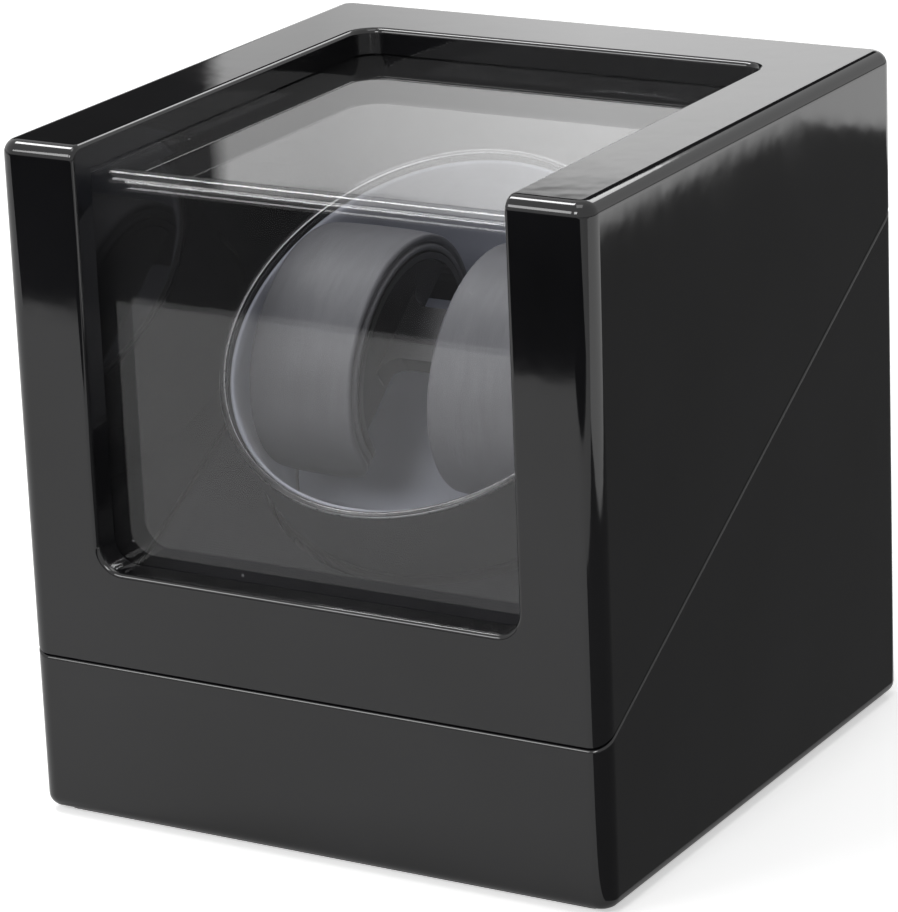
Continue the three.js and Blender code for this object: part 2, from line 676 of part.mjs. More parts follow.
// What is taken off a band's lower end to round one of its corners; side is +1 on the right, -1 on the left.
function cornerRound(x, side, radius) {
  const end = cuffCentre - cuffHalfDepth * Math.cos(cuffSlit / 2);
  const inner = x - side * radius;
  const square = box(Math.min(inner, x + side), Math.max(inner, x + side), -farReach, 0, end - 1, end + radius);
  return cut(square, barAlongY(radius, inner, end + radius, -farReach - 1, 1, 40));
}

// A half-moon: the oval's upper part, cut off straight behind the bridge.
function halfMoon() {
  const a = cuffHalfWidth - bridgeInset;
  const b = cuffHalfDepth - bridgeInset;
  const start = Math.asin((-plateBack - cuffCentre) / b);
  const steps = 20;
  const outline = [];
  for (let i = 0; i <= steps; i += 1) {
    const angle = start + (Math.PI - 2 * start) * i / steps;
    outline.push(new THREE.Vector2(a * Math.cos(angle), cuffCentre + b * Math.sin(angle)));
  }
  return new THREE.Shape(outline);
}

// The bridge's plan between the cuffs: a bar that flares into both end plates.
function bridgePlan() {
  const x = cuffSpacing / 2 + bridgePlate / 2;
  const flare = cuffSpacing / 2 - bridgeFillet;
  const w = bridgeHalfWidth;
  const f = bridgeFillet;
  const shape = new THREE.Shape();
  shape.moveTo(-x, -w - f);
  shape.lineTo(-flare - f, -w - f);
  shape.absarc(-flare, -w - f, f, Math.PI, Math.PI / 2, true);
  shape.lineTo(flare, -w);
  shape.absarc(flare, -w - f, f, Math.PI / 2, 0, true);
  shape.lineTo(x, -w - f);
  shape.lineTo(x, w + f);
  shape.lineTo(flare + f, w + f);
  shape.absarc(flare, w + f, f, 0, -Math.PI / 2, true);
  shape.lineTo(-flare, w);
  shape.absarc(-flare, w + f, f, -Math.PI / 2, -Math.PI, true);
  shape.lineTo(-x, w + f);
  return shape;
}

function cuffBridge() {
  const near = cuffSpacing / 2 + 0.3;
  const far = cuffReach - 0.3;
  const plate = (x0) => pullAlongX(halfMoon(), x0, x0 + bridgePlate);
  const web = new THREE.ExtrudeGeometry(bridgePlan(),
    { depth: bridgeBack - bridgeFront, bevelEnabled: false, curveSegments: 5 }).translate(0, 0, -bridgeBack);
  const spine = box(-far + 0.5, far - 0.5, -bridgeHalfWidth, bridgeHalfWidth, -bridgeBack, -bridgeBack + 3);
  return join(web, spine, plate(near), plate(-near - bridgePlate), plate(far - bridgePlate), plate(-far));
}

function addWatchHolder(group) {
  const near = cuffSpacing / 2;
  const springSlit = cuffSlit + 0.03;
  const band = (shape, x0, x1) => cut(pullAlongX(shape, x0, x1),
    cornerRound(x1, 1, cuffCorner), cornerRound(x0, -1, cuffSmallCorner));
  const leatherBand = (x0, x1) => band(cuffBand(0, cuffFoam, cuffSlit), x0, x1);
  const springBand = (x0, x1) => band(cuffBand(springInset, springThickness, springSlit), x0, x1);
  add(group, 'watch_cuff_left', leatherBand(-cuffReach, -near), leather);
  add(group, 'watch_cuff_right', leatherBand(near, cuffReach), leather);
  add(group, 'cuff_spring_left', springBand(-cuffReach, -near), blackPlastic);
  add(group, 'cuff_spring_right', springBand(near, cuffReach), blackPlastic);
  add(group, 'cuff_bridge', cuffBridge(), blackPlastic);
}

// ---- Gearbox and motor ---------------------------------------------------------------------------------
function chassis() {
  const w = pillarX + pillarRadius + 1;
  const h = pillarY + pillarRadius;
  const plate = box(-w, w, -h, h, chassisUnder, chassisTop);
  const posts = pillars.map(([x, y]) =>
    bar(pillarRadius, x, y, chassisTop - 1, axisHitsPlane(y, deckUnder) + pillarRadius, 20));
  const overDeck = box(-farReach, farReach, -farReach, farReach, -deckUnder - fitGap, farReach)
    .applyMatrix4(seamInRotor);
  const bores = pillars.map(([x, y]) => bar(screwRadius + fitGap, x, y, chassisUnder - 1, 1, 12));
  const axleHole = bar(axleRadius + fitGap, idlerX, idlerY, chassisUnder - 1, chassisTop + 1, 16);
  const screwHoles = plateCorners.map(([x, y]) =>
    bar(screwRadius + fitGap, x, y, chassisUnder - 1, chassisTop + 1, 12));
  const bushHole = bar(bushRadius + runningFit, 0, 0, chassisUnder - 1, chassisTop + 1, 32);
  return cut(join(plate, ...posts), overDeck, bushHole, axleHole, ...bores, ...screwHoles);
}

// The two screws that hold the chassis to the deck, through opposite pillars.
function chassisScrew([x, y]) {
  return screw(x, y, chassisUnder - fitGap - 2, chassisUnder - fitGap, axisHitsPlane(y, deckUnder) + 3.5);
}

function outputBush() {
  const bore = shaftRadius + runningFit;
  return revolve([[bore, chassisUnder], [bushRadius, chassisUnder], [bushRadius, chassisTop + 0.1],
    [bushRadius + bushFlangeWidth, chassisTop + 0.1], [bushRadius + bushFlangeWidth, chassisTop + bushFlange],
    [bore, chassisTop + bushFlange], [bore, chassisUnder]], 32);
}

function rearPlate() {
  const edge = spacerRadius + 2;
  const [left, low] = plateCorners[0];
  const [right, high] = plateCorners[3];
  const plate = box(left - edge, right + edge, low - edge, high + edge, rearPlateUnder, rearPlateTop);
  const posts = plateCorners.map(([x, y]) =>
    bar(spacerRadius, x, y, rearPlateTop - 0.5, chassisUnder - fitGap, 16));
  const bores = plateCorners.map(([x, y]) =>
    bar(screwRadius + fitGap, x, y, rearPlateUnder - 1, chassisUnder + 1, 12));
  const hole = (radius, x, y) => bar(radius, x, y, rearPlateUnder - 1, rearPlateTop + 1, 20);
  return cut(join(plate, ...posts), hole(shaftRadius + runningFit, 0, 0),
    hole(axleRadius + fitGap, idlerX, idlerY), hole(motorBossFit, motorX, motorY),
    hole(motorScrewBore, motorX - motorScrewOffset, motorY),
    hole(motorScrewBore, motorX + motorScrewOffset, motorY), ...bores);
}

function motorCan() {
  const top = rearPlateUnder - fitGap;
  const body = bar(motorRadius, motorX, motorY, top - motorLength, top, 36);
  const boss = bar(motorBossRadius, motorX, motorY, top - 1, rearPlateTop - 0.4, 20);
  const bore = bar(motorShaftRadius + fitGap, motorX, motorY, top - 10, rearPlateTop, 16);
  const taps = [-1, 1].map((side) =>
    bar(motorScrewBore, motorX + side * motorScrewOffset, motorY, top - 3, top + 1, 10));
  const terminals = [-1, 1].map((side) => motorX + side * terminalOffset).map((x) =>
    box(x - 1, x + 1, motorY - 0.4, motorY + 0.4, top - motorLength - terminalLength, top - motorLength + 1));
  return join(cut(join(body, boss), bore, ...taps), ...terminals);
}

function eClip() {
  const low = rearPlateUnder - 2 * clipThickness;
  const ring = tubeBar(clipRadius, shaftRadius + runningFit, 0, 0, low, low + clipThickness, 24);
  return cut(ring, box(-clipSlot, clipSlot, 0, clipRadius + 1, low - 1, low + clipThickness + 1));
}

function addGearbox(group) {
  add(group, 'rotor_chassis', chassis(), blackPlastic);
  add(group, 'chassis_screw_left', chassisScrew(pillars[0]), steel);
  add(group, 'chassis_screw_right', chassisScrew(pillars[3]), steel);
  add(group, 'output_bush', outputBush(), brass);
  add(group, 'gearbox_rear_plate', rearPlate(), blackPlastic);
  const gearboxScrew = ([x, y]) =>
    screw(x, y, rearPlateUnder - fitGap - screwHeadHeight, rearPlateUnder - fitGap, chassisTop - 0.5);
  add(group, 'gearbox_screw_left', gearboxScrew(plateCorners[0]), steel);
  add(group, 'gearbox_screw_right', gearboxScrew(plateCorners[3]), steel);
  const idlerPhase = idlerDirection + Math.PI + Math.PI / idlerPinionTeeth;
  const idlerBore = axleRadius + runningFit + 0.05;
  const pinionTop = outputGearZ + gearFace + 0.3;
  const wheel = gear(idlerWheelTeeth, idlerWheelFace, idlerWheelZ, idlerBore, motorDirection);
  const pinionLow = idlerWheelZ + idlerWheelFace - 0.5;
  const pinion = gear(idlerPinionTeeth, pinionTop - pinionLow, pinionLow, idlerBore, idlerPhase);
  add(group, 'idler_gear', join(wheel, pinion).translate(idlerX, idlerY, 0), whitePlastic);
  add(group, 'idler_axle', bar(axleRadius, idlerX, idlerY, rearPlateUnder + 0.2, chassisTop - 0.4, 20), steel);
  const motorPhase = motorDirection + Math.PI + Math.PI / motorPinionTeeth;
  const motorGear = gear(motorPinionTeeth, idlerWheelFace + 0.6, idlerWheelZ - 0.3,
    motorShaftRadius - 0.2, motorPhase);
  const motorShaft = bar(motorShaftRadius, motorX, motorY, rearPlateUnder - 8,
    idlerWheelZ + idlerWheelFace + 0.6, 16);
  add(group, 'motor_pinion', join(motorGear.translate(motorX, motorY, 0), motorShaft), brass);
  add(group, 'motor_can', motorCan(), steel);
  const motorScrew = (side) => screw(motorX + side * motorScrewOffset, motorY, rearPlateTop + 0.1,
    rearPlateTop + 1.3, rearPlateUnder - 2.4, motorScrewRadius, 2 * motorScrewRadius);
  add(group, 'motor_screw_left', motorScrew(-1), steel);
  add(group, 'motor_screw_right', motorScrew(1), steel);
  add(group, 'shaft_clip', eClip(), steel);
}

// ---- Controls ------------------------------------------------------------------------------------------
function controlPlate() {
  const w = controlWidth / 2;
  const h = controlHeight / 2;
  const plate = box(-w, w, controlBackY, controlFrontY, controlZ - h, controlZ + h);
  const holes = [
    barAlongY(jackRadius + fitGap, controlSpacing, controlZ, controlBackY - 1, controlFrontY + 1, 28),
    box(-controlSpacing - rockerHalfWidth - fitGap, -controlSpacing + rockerHalfWidth + fitGap,
      controlBackY - 1, controlFrontY + 1,
      controlZ - rockerHalfHeight - fitGap, controlZ + rockerHalfHeight + fitGap),
    barAlongY(selectorBushRadius + fitGap, 0, controlZ, controlBackY - 1, controlFrontY + 1, 20),
    ...[-1, 1].map((side) => barAlongY(controlScrewBore, side * (w - controlScrewInset), controlZ,
      controlBackY - 1, controlFrontY + 1, 12)),
  ];
  return cut(plate, ...holes);
}

function controlScrew(side) {
  const x = side * (controlWidth / 2 - controlScrewInset);
  return join(barAlongY(controlScrewHead, x, controlZ, controlFrontY + headGap, controlFrontY + 1, 14),
    barAlongY(controlScrewRadius, x, controlZ, controlBackY - 0.1, controlFrontY + 0.5, 10));
}

function dcJack() {
  const x = controlSpacing;
  const body = join(barAlongY(jackRadius, x, controlZ, bodyInner, bezelFrom + 0.5, 28),
    barAlongY(jackFlange, x, controlZ, bezelFrom, bezelFrom + bezelProud, 28));
  const socketFrom = bezelFrom + bezelProud - jackSocketDepth;
  const socket = barAlongY(jackSocketRadius, x, controlZ, socketFrom, bezelFrom + 4, 24);
  const pin = barAlongY(jackPinRadius, x, controlZ, socketFrom - 1, socketFrom + jackSocketDepth - 1.5, 12);
  return join(cut(body, socket), pin);
}

function rockerHousing() {
  const x = -controlSpacing;
  const body = box(x - rockerHalfWidth, x + rockerHalfWidth, bodyInner, bezelFrom + 0.5,
    controlZ - rockerHalfHeight, controlZ + rockerHalfHeight);
  const bezelHalfWidth = rockerHalfWidth + bezelLap;
  const bezelHalfHeight = rockerHalfHeight + bezelLap;
  const bezel = box(x - bezelHalfWidth, x + bezelHalfWidth, bezelFrom, bezelFrom + bezelProud,
    controlZ - bezelHalfHeight, controlZ + bezelHalfHeight);
  const w = rockerHalfWidth - rockerWall;
  const h = rockerHalfHeight - rockerWall;
  const pocket = box(x - w, x + w, bezelFrom - rockerPivotDepth - 4, bezelFrom + 4, controlZ - h, controlZ + h);
  const boreReach = w + rockerSideGap * 2;
  const trunnionBore = barAlongX(trunnionRadius + 0.15, rockerPivotY, controlZ, x - boreReach,
    x + boreReach, 12);
  return cut(join(body, bezel), pocket, trunnionBore);
}

function rocker() {
  const x = -controlSpacing;
  const w = rockerHalfWidth - rockerWall - rockerSideGap;
  const outline = new THREE.Shape([[-2.6, -3], [3, -6.6], [7, -6.4], [5.6, 0], [7, 6.4], [3, 6.6], [-2.6, 3]]
    .map(([y, z]) => new THREE.Vector2(y, z)));
  const piece = pullAlongX(outline, x - w, x + w);
  const trunnion = barAlongX(trunnionRadius, 0, 0, x - w - trunnionLength, x + w + trunnionLength, 12);
  return join(piece, trunnion).rotateX(-rockerTilt).translate(0, rockerPivotY, controlZ);
}

function selectorBody() {
  const w = selectorHalfWidth;
  const body = box(-w, w, bodyInner, controlBackY - fitGap, controlZ - w, controlZ + w);
  const bush = barAlongY(selectorBushRadius, 0, controlZ, controlBackY - fitGap - 1, controlFrontY - 0.2, 20);
  const bore = barAlongY(knobStemRadius + runningFit, 0, controlZ, controlBackY - 6, controlFrontY + 2, 20);
  return cut(join(body, bush), bore);
}

function modeKnob() {
  const from = controlFrontY + 0.5;
  const grip = barAlongY(knobRadius, 0, controlZ, from, from + knobLength, 32);
  const reach = knobRadius + 0.25;
  const flutes = Array.from({ length: knobFlutes }, (_, i) => {
    const angle = (i + 0.5) * 2 * Math.PI / knobFlutes;
    return barAlongY(fluteRadius, reach * Math.cos(angle), controlZ + reach * Math.sin(angle),
      from + 1.2, from + knobLength + 1, 6);
  });
  const pointer = box(-0.5, 0.5, from + knobLength - 0.5, from + knobLength + 1, controlZ + 1.5,
    controlZ + knobRadius - 1);
  const stem = barAlongY(knobStemRadius, 0, controlZ, controlBackY - 5.4, from + 1, 20);
  return join(cut(grip, ...flutes, pointer), stem);
}

function circuitBoard() {
  return box(-circuitHalfWidth, circuitHalfWidth, circuitY - circuitThickness, circuitY,
    controlZ - circuitHalfHeight, controlZ + circuitHalfHeight);
}

function motorConnector() {
  const face = circuitY - circuitThickness - headGap;
  const x = connectorInset - circuitHalfWidth;
  const z = controlZ - circuitHalfHeight + 3;
  return box(x, x + connectorWidth, face - connectorDepth, face, z, z + connectorHeight);
}

// The motor's flat twin lead, from its terminals to the connector on the circuit board.
function motorLead() {
  const start = new THREE.Vector3(motorX, motorY, rearPlateUnder - fitGap - motorLength - terminalLength - 0.5)
    .applyMatrix4(rotorFrame);
  const plug = new THREE.Vector3(connectorInset - circuitHalfWidth + connectorWidth / 2,
    circuitY - circuitThickness - connectorDepth - 0.5, controlZ - circuitHalfHeight + 3 + connectorHeight / 2);
  const section = new THREE.Shape();
  section.absellipse(0, 0, leadHalfThickness, leadHalfWidth, 0, 2 * Math.PI);
  const path = new THREE.CatmullRomCurve3([
    start,
    start.clone().add(new THREE.Vector3(0, 2, -1.8)),
    new THREE.Vector3((start.x + plug.x) / 2, (start.y + plug.y) / 2, start.z - 1),
    plug.clone().add(new THREE.Vector3(0, -3.5, -0.5)),
    plug,
  ]);
  return new THREE.ExtrudeGeometry(section, { steps: 14, extrudePath: path, curveSegments: 5 });
}

function addControls(model) {
  add(model, 'control_plate', controlPlate(), blackPlastic);
  add(model, 'control_screw_left', controlScrew(-1), steel);
  add(model, 'control_screw_right', controlScrew(1), steel);
  add(model, 'dc_jack', dcJack(), blackPlastic);
  add(model, 'rocker_housing', rockerHousing(), blackPlastic);
  add(model, 'rocker', rocker(), blackPlastic);
  add(model, 'selector_body', selectorBody(), blackPlastic);
  add(model, 'mode_knob', modeKnob(), blackPlastic);
  add(model, 'circuit_board', circuitBoard(), circuitGreen);
  add(model, 'motor_connector', motorConnector(), whitePlastic);
  add(model, 'motor_lead', motorLead(), copperRed);
}

// ---- Assembly ------------------------------------------------------------------------------------------
function add(group, name, geometry, material) {
  const mesh = new THREE.Mesh(geometry, material());
  mesh.name = name;
  group.add(mesh);
  return mesh;
}

const winder = new THREE.Group();
addCase(winder);
addLid(winder);
addHinge(winder);
addControls(winder);
const mechanism = new THREE.Group();
mechanism.position.set(0, rimY, rimZ);
mechanism.rotation.x = rotorTilt;
winder.add(mechanism);
addRotor(mechanism);
addWatchHolder(mechanism);
addGearbox(mechanism);

// The hinge screws' bores are drilled once the boards are made.
const drilled = { base_back_board: screwBores(-1), lid_back_board: screwBores(1) };
for (const mesh of winder.children.filter((child) => drilled[child.name])) {
  mesh.geometry = cut(mesh.geometry, ...drilled[mesh.name]);
}

export default winder;
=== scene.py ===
"""Looks of a watch winder box: black lacquered case in two halves, bent clear window, and a tilted lined
cup that turns two padded cuffs. All in metres, in the frame of the CAD model."""

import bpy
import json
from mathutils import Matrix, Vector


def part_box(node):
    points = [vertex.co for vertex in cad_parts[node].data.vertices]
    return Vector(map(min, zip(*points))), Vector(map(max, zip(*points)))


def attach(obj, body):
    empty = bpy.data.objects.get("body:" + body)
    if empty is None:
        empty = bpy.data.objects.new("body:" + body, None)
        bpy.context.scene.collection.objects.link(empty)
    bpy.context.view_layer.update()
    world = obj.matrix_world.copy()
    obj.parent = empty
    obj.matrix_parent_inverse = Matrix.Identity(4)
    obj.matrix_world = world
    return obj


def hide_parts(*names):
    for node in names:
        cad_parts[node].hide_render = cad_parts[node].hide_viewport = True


bl_info = {
    "name": "Watch winder box",
    "version": (1, 0, 0),
    "blender": (4, 5, 0),
    "location": "View3D > Sidebar > Winder",
    "description": "Builds the case, window, cup, cuffs and fittings of a watch winder box",
    "category": "Object",
}

import json
import math

import bmesh
import bpy
from bpy.props import FloatProperty, FloatVectorProperty, PointerProperty
from mathutils import Matrix, Vector, noise

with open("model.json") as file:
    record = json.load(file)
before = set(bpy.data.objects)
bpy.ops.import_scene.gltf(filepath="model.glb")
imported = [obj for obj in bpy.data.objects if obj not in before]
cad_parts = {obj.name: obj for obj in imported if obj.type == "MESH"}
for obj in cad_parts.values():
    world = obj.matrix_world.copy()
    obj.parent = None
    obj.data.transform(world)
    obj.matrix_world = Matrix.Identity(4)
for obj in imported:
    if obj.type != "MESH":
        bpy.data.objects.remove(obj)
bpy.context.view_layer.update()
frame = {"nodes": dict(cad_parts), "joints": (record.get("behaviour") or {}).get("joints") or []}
JOINTS = {joint["name"]: joint for joint in frame["joints"]}

MM = 0.001
CASE_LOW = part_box("base_left_side")[0]
CASE_HIGH = Vector((-CASE_LOW.x, -CASE_LOW.y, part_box("lid_top_frame")[1].z))
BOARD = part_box("base_left_side")[1].x - CASE_LOW.x
INNER = Vector((CASE_HIGH.x - BOARD, CASE_HIGH.y - BOARD, CASE_HIGH.z - BOARD))
FLOOR_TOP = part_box("bottom_panel")[1].z
SEAM_GAP = 0.4 * MM
SEAM_FRONT = Vector((0, CASE_LOW.y, 39 * MM))
SEAM_BACK = Vector((0, CASE_HIGH.y, JOINTS["lid_hinge"]["pos_m"][2]))
SEAM_ALONG = (SEAM_BACK - SEAM_FRONT).normalized()
SEAM_NORMAL = Vector((0, -SEAM_ALONG.z, SEAM_ALONG.y))
SEAM_SLOPE = math.atan2(SEAM_ALONG.z, SEAM_ALONG.y)
SEAM_PLACE = Matrix.Translation(SEAM_FRONT) @ Matrix.Rotation(SEAM_SLOPE, 4, "X")

WINDOW_HALF = 54.5 * MM
WINDOW_SILL = 62.2 * MM
WINDOW_REAR = 50 * MM
SHEET_LOW, SHEET_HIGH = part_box("lid_window")
SHEET_THICK = 3 * MM
SHEET_BEND_OUT, SHEET_BEND_IN = 5.5 * MM, 2.5 * MM
FIT = 0.3 * MM
MAGNET_BORE = 3.3 * MM

CUP_AXIS = Vector(JOINTS["cup_spin"]["axis"])
CUP_TILT = math.atan2(-CUP_AXIS.y, CUP_AXIS.z)
CUP_PLACE = Matrix.Translation(JOINTS["cup_spin"]["pos_m"]) @ Matrix.Rotation(CUP_TILT, 4, "X")
CUP_RADIUS = 52 * MM
CUP_HOLE = 53.5 * MM
CUP_FLOOR = -43 * MM
CUP_UNDER = -46 * MM
CUP_WALL = 1.8 * MM
CUP_LIP = 0.9 * MM
CUP_ROUND = 3 * MM
HUB_END = -58.2 * MM
HUB_RADIUS = 7 * MM
SHAFT_BORE = 3.1 * MM
LINING_RADIUS = 48.9 * MM

CUFF_WIDE, CUFF_DEEP = 30.5 * MM, 26 * MM
CUFF_CENTRE = -14 * MM
CUFF_FOAM = 4 * MM
CUFF_MEAN = 28 * MM  # radius that gives the strip's length
CUFF_SLIT = math.radians(128)
CUFF_CORNERS = (5 * MM, 13 * MM)  # of the lower end, left and right
CUFF_BACK_CORNER = 4 * MM
CUFF_ROWS = 84

CONTROL_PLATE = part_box("control_plate")
CONTROL_LEDGE = 6 * MM  # that the control plate screws to, at its ends
CONTROL_SILL = 4.2 * MM  # that it rests on, above and below

CLOTH_THICK, CLOTH_DROP = 0.8 * MM, 1.5 * MM
FELT_CORNER = 3 * MM

CAMERA_PLACE = Vector((0.51941, -0.88376, 0.41146))
CAMERA_AZIMUTH, CAMERA_ELEVATION, CAMERA_ROLL = 30.44, 17.87, -2.30
CAMERA_LENS, CAMERA_SENSOR = 182.3, 36.0
CAMERA_SHIFT = (-0.0215, -0.0322)

# Place, size and share of the key level of each lamp. All of them aim at the middle of the case.
LAMPS = {
    "Overhead softbox": ((-0.62, 0.05, 1.3), (0.3, 0.5), 1.0),
    "Front softbox": ((-0.75, -1.25, 0.85), (0.5, 0.4), 0.55),
    "Front fill": ((0.1, -1.4, 0.9), (0.4, 0.4), 0.7),
    "Top fill": ((0.12, -0.25, 1.35), (0.55, 0.55), 0.28),
    "Back softbox": ((0.0, 1.2, 1.05), (0.5, 0.25), 0.2),
}

# The cards that the gloss mirrors, as low left, low right and top left corners.
CARD_LIFT = 1 * MM
TABLE_FRONT_LEFT, TABLE_FRONT_RIGHT = -0.47, -0.38
DARK_ROOM = (
    (-1.4, TABLE_FRONT_LEFT, CARD_LIFT), (-1.4, -2.6, CARD_LIFT), (0.35, TABLE_FRONT_RIGHT, CARD_LIFT)
)
BACKDROP = ((-1.9, 1.5, 0.36), (-0.2, 1.5, 0.36), (-1.9, 1.5, 1.3))
BACKDROP_LEFT, BACKDROP_FULL, BACKDROP_TOP = -1.065, -0.78, 0.65
SIDE_TABLE = ((0.078, -0.3, CARD_LIFT), (1.4, -0.3, CARD_LIFT), (0.078, 1.6, CARD_LIFT))
# Where the side table card's painted shadow of the case gives way to its painted light.
SIDE_EDGE_X, SIDE_EDGE_Y = 0.342, 0.572
DARK_LEVEL = 0.03


# ---- Settings --------------------------------------------------------------------------------------------
class WinderCaseSettings(bpy.types.PropertyGroup):
    corner_round: FloatProperty(
        name="Corner round", description="Radius of the upright corners", default=4.5 * MM, unit="LENGTH"
    )
    top_round: FloatProperty(
        name="Top round", description="Radius round the top edge", default=3.4 * MM, unit="LENGTH"
    )
    foot_round: FloatProperty(
        name="Foot round", description="Radius round the bottom edge", default=3.0 * MM, unit="LENGTH"
    )
    window_corner: FloatProperty(
        name="Window corner", description="Radius of the window's corners", default=6 * MM, unit="LENGTH"
    )
    window_round: FloatProperty(
        name="Window edge", description="Rounding of the window's edge", default=1.25 * MM, unit="LENGTH"
    )
    seam_round: FloatProperty(
        name="Seam edge", description="Rounding of both edges at the seam", default=0.55 * MM, unit="LENGTH"
    )


class WinderSoftSettings(bpy.types.PropertyGroup):
    crown: FloatProperty(
        name="Cuff crown", description="How far the cuffs' leather swells", default=0.45 * MM, unit="LENGTH"
    )
    piping: FloatProperty(
        name="Piping", description="Radius of the piping along the cuffs", default=0.8 * MM, unit="LENGTH"
    )
    pad_swell: FloatProperty(
        name="Pad swell", description="Swell of the cup's floor pad", default=0.7 * MM, unit="LENGTH"
    )


class WinderFinishSettings(bpy.types.PropertyGroup):
    lacquer: FloatVectorProperty(
        name="Lacquer", description="Colour of the case", subtype="COLOR",
        default=(0.0042, 0.0042, 0.0048)
    )
    satin: FloatVectorProperty(
        name="Satin", description="Colour of the cup's lining", subtype="COLOR",
        default=(0.36, 0.375, 0.43)
    )
    leather: FloatVectorProperty(
        name="Leather", description="Colour of the cuffs", subtype="COLOR",
        default=(0.092, 0.093, 0.101)
    )
    cloth: FloatVectorProperty(
        name="Deck cloth", description="Colour of the cloth round the cup", subtype="COLOR",
        default=(0.008, 0.008, 0.01)
    )


class WinderStageSettings(bpy.types.PropertyGroup):
    key_level: FloatProperty(
        name="Key level", description="Power of the softbox overhead, in watts", default=9.0, min=0
    )
    room_level: FloatProperty(
        name="Room level", description="Light from all round", default=0.38, min=0
    )
    floor_level: FloatProperty(
        name="Floor glow", description="Whiteness added to the floor's own", default=0.1, min=0
    )
    paper_level: FloatProperty(
        name="Paper glow", description="Whiteness added where the floor is seen straight", default=0.42, min=0
    )


# ---- Modelling helpers -----------------------------------------------------------------------------------
def clear_selection():
    if bpy.context.object and bpy.context.object.mode != "OBJECT":
        bpy.ops.object.mode_set(mode="OBJECT")
    bpy.ops.object.select_all(action="DESELECT")


def focus(obj):
    clear_selection()
    obj.select_set(True)
    bpy.context.view_layer.objects.active = obj
    return obj


def edit(obj, kind="FACE"):
    focus(obj)
    bpy.ops.object.mode_set(mode="EDIT")
    bpy.ops.mesh.select_mode(type=kind)
    bpy.ops.mesh.select_all(action="DESELECT")


def pick(obj, test, kind="EDGE"):
    """Selects what passes the test, in edit mode, and says how many there are."""
    bpy.ops.mesh.select_mode(type=kind)
    bpy.ops.mesh.select_all(action="DESELECT")
    mesh = bmesh.from_edit_mesh(obj.data)
    items = {"VERT": mesh.verts, "EDGE": mesh.edges, "FACE": mesh.faces}[kind]
    found = [item for item in items if test(item)]
    for item in found:
        item.select_set(True)
    mesh.select_flush_mode()
    bmesh.update_edit_mesh(obj.data)
    if not found:
        raise RuntimeError(f"{obj.name}: nothing to select")
    return len(found)


def round_edges(obj, test, radius, segments):
    pick(obj, test)
    bpy.ops.mesh.bevel(offset=radius, segments=segments, profile=0.5, clamp_overlap=False, affect="EDGES")


def name_new(name):
    obj = bpy.context.object
    obj.name = obj.data.name = name
    return obj


def settle(obj):
    """Puts the object's place into its mesh."""
    focus(obj)
    bpy.ops.object.transform_apply(location=True, rotation=True, scale=True)
    return obj


def place(obj, matrix):
    obj.matrix_world = matrix @ obj.matrix_world
    return settle(obj)


def block(name, low, high):
    clear_selection()
    low, high = Vector(low), Vector(high)
    bpy.ops.mesh.primitive_cube_add(size=1, location=(low + high) / 2)
    obj = name_new(name)
    obj.scale = high - low
    return settle(obj)


def bar_along(name, radius, start, end, sides=64):
    clear_selection()
    start, end = Vector(start), Vector(end)
    bpy.ops.mesh.primitive_cylinder_add(vertices=sides, radius=radius, depth=(end - start).length)
    obj = name_new(name)
    turn = (end - start).to_track_quat("Z", "Y").to_matrix().to_4x4()
    return place(obj, Matrix.Translation((start + end) / 2) @ turn)


def cut_with(obj, *tools):
    for tool in tools:
        focus(obj)
        modifier = obj.modifiers.new("Cut", "BOOLEAN")
        modifier.operation = "DIFFERENCE"
        modifier.solver = "EXACT"
        modifier.object = tool
        bpy.ops.object.modifier_apply(modifier=modifier.name)
        bpy.data.objects.remove(tool)
    return obj


def face_outwards(obj):
    edit(obj, "VERT")
    bpy.ops.mesh.select_all(action="SELECT")
    bpy.ops.mesh.remove_doubles(threshold=1e-6)
    bpy.ops.mesh.normals_make_consistent(inside=False)
    bpy.ops.object.mode_set(mode="OBJECT")


def apply_all(obj):
    focus(obj)
    for modifier in list(obj.modifiers):
        bpy.ops.object.modifier_apply(modifier=modifier.name)


def finish_hard(obj, angle=32):
    """Smooth over the roundings, with the flat faces kept flat."""
    focus(obj)
    bpy.ops.object.shade_smooth_by_angle(angle=math.radians(angle))
    modifier = obj.modifiers.new("Weighted normals", "WEIGHTED_NORMAL")
    modifier.keep_sharp = True
    modifier.weight = 80
    bpy.ops.object.modifier_apply(modifier=modifier.name)
    return obj


def finish_soft(obj):
    focus(obj)
    bpy.ops.object.shade_smooth()
    return obj


def dress(obj, material, body, slot, *stands_for):
    obj.data.materials.clear()
    obj.data.materials.append(material)
    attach(obj, body)
    if stands_for:
        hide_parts(*stands_for)
    return obj


def arc(centre, radius, start, end, steps):
    """Points of a round corner in (radius, height), angles in degrees."""
    return [
        (
            centre[0] + radius * math.cos(math.radians(start + (end - start) * i / steps)),
            centre[1] + radius * math.sin(math.radians(start + (end - start) * i / steps)),
        )
        for i in range(steps + 1)
    ]


def turned(name, profile, sides=128):
    """A turned ring from a closed profile of (radius, height) points, by extruding and sizing a circle."""
    clear_selection()
    radius, height = profile[0]
    bpy.ops.mesh.primitive_circle_add(vertices=sides, radius=radius, location=(0, 0, height))
    obj = settle(name_new(name))
    edit(obj, "EDGE")
    bpy.ops.mesh.select_all(action="SELECT")
    for r, h in profile[1:] + profile[:1]:
        bpy.ops.mesh.extrude_edges_move(TRANSFORM_OT_translate={"value": (0, 0, h - height)})
        grow = r / radius
        bpy.ops.transform.resize(value=(grow, grow, 1), center_override=(0, 0, h))
        radius, height = r, h
    bpy.ops.object.mode_set(mode="OBJECT")
    face_outwards(obj)
    return obj


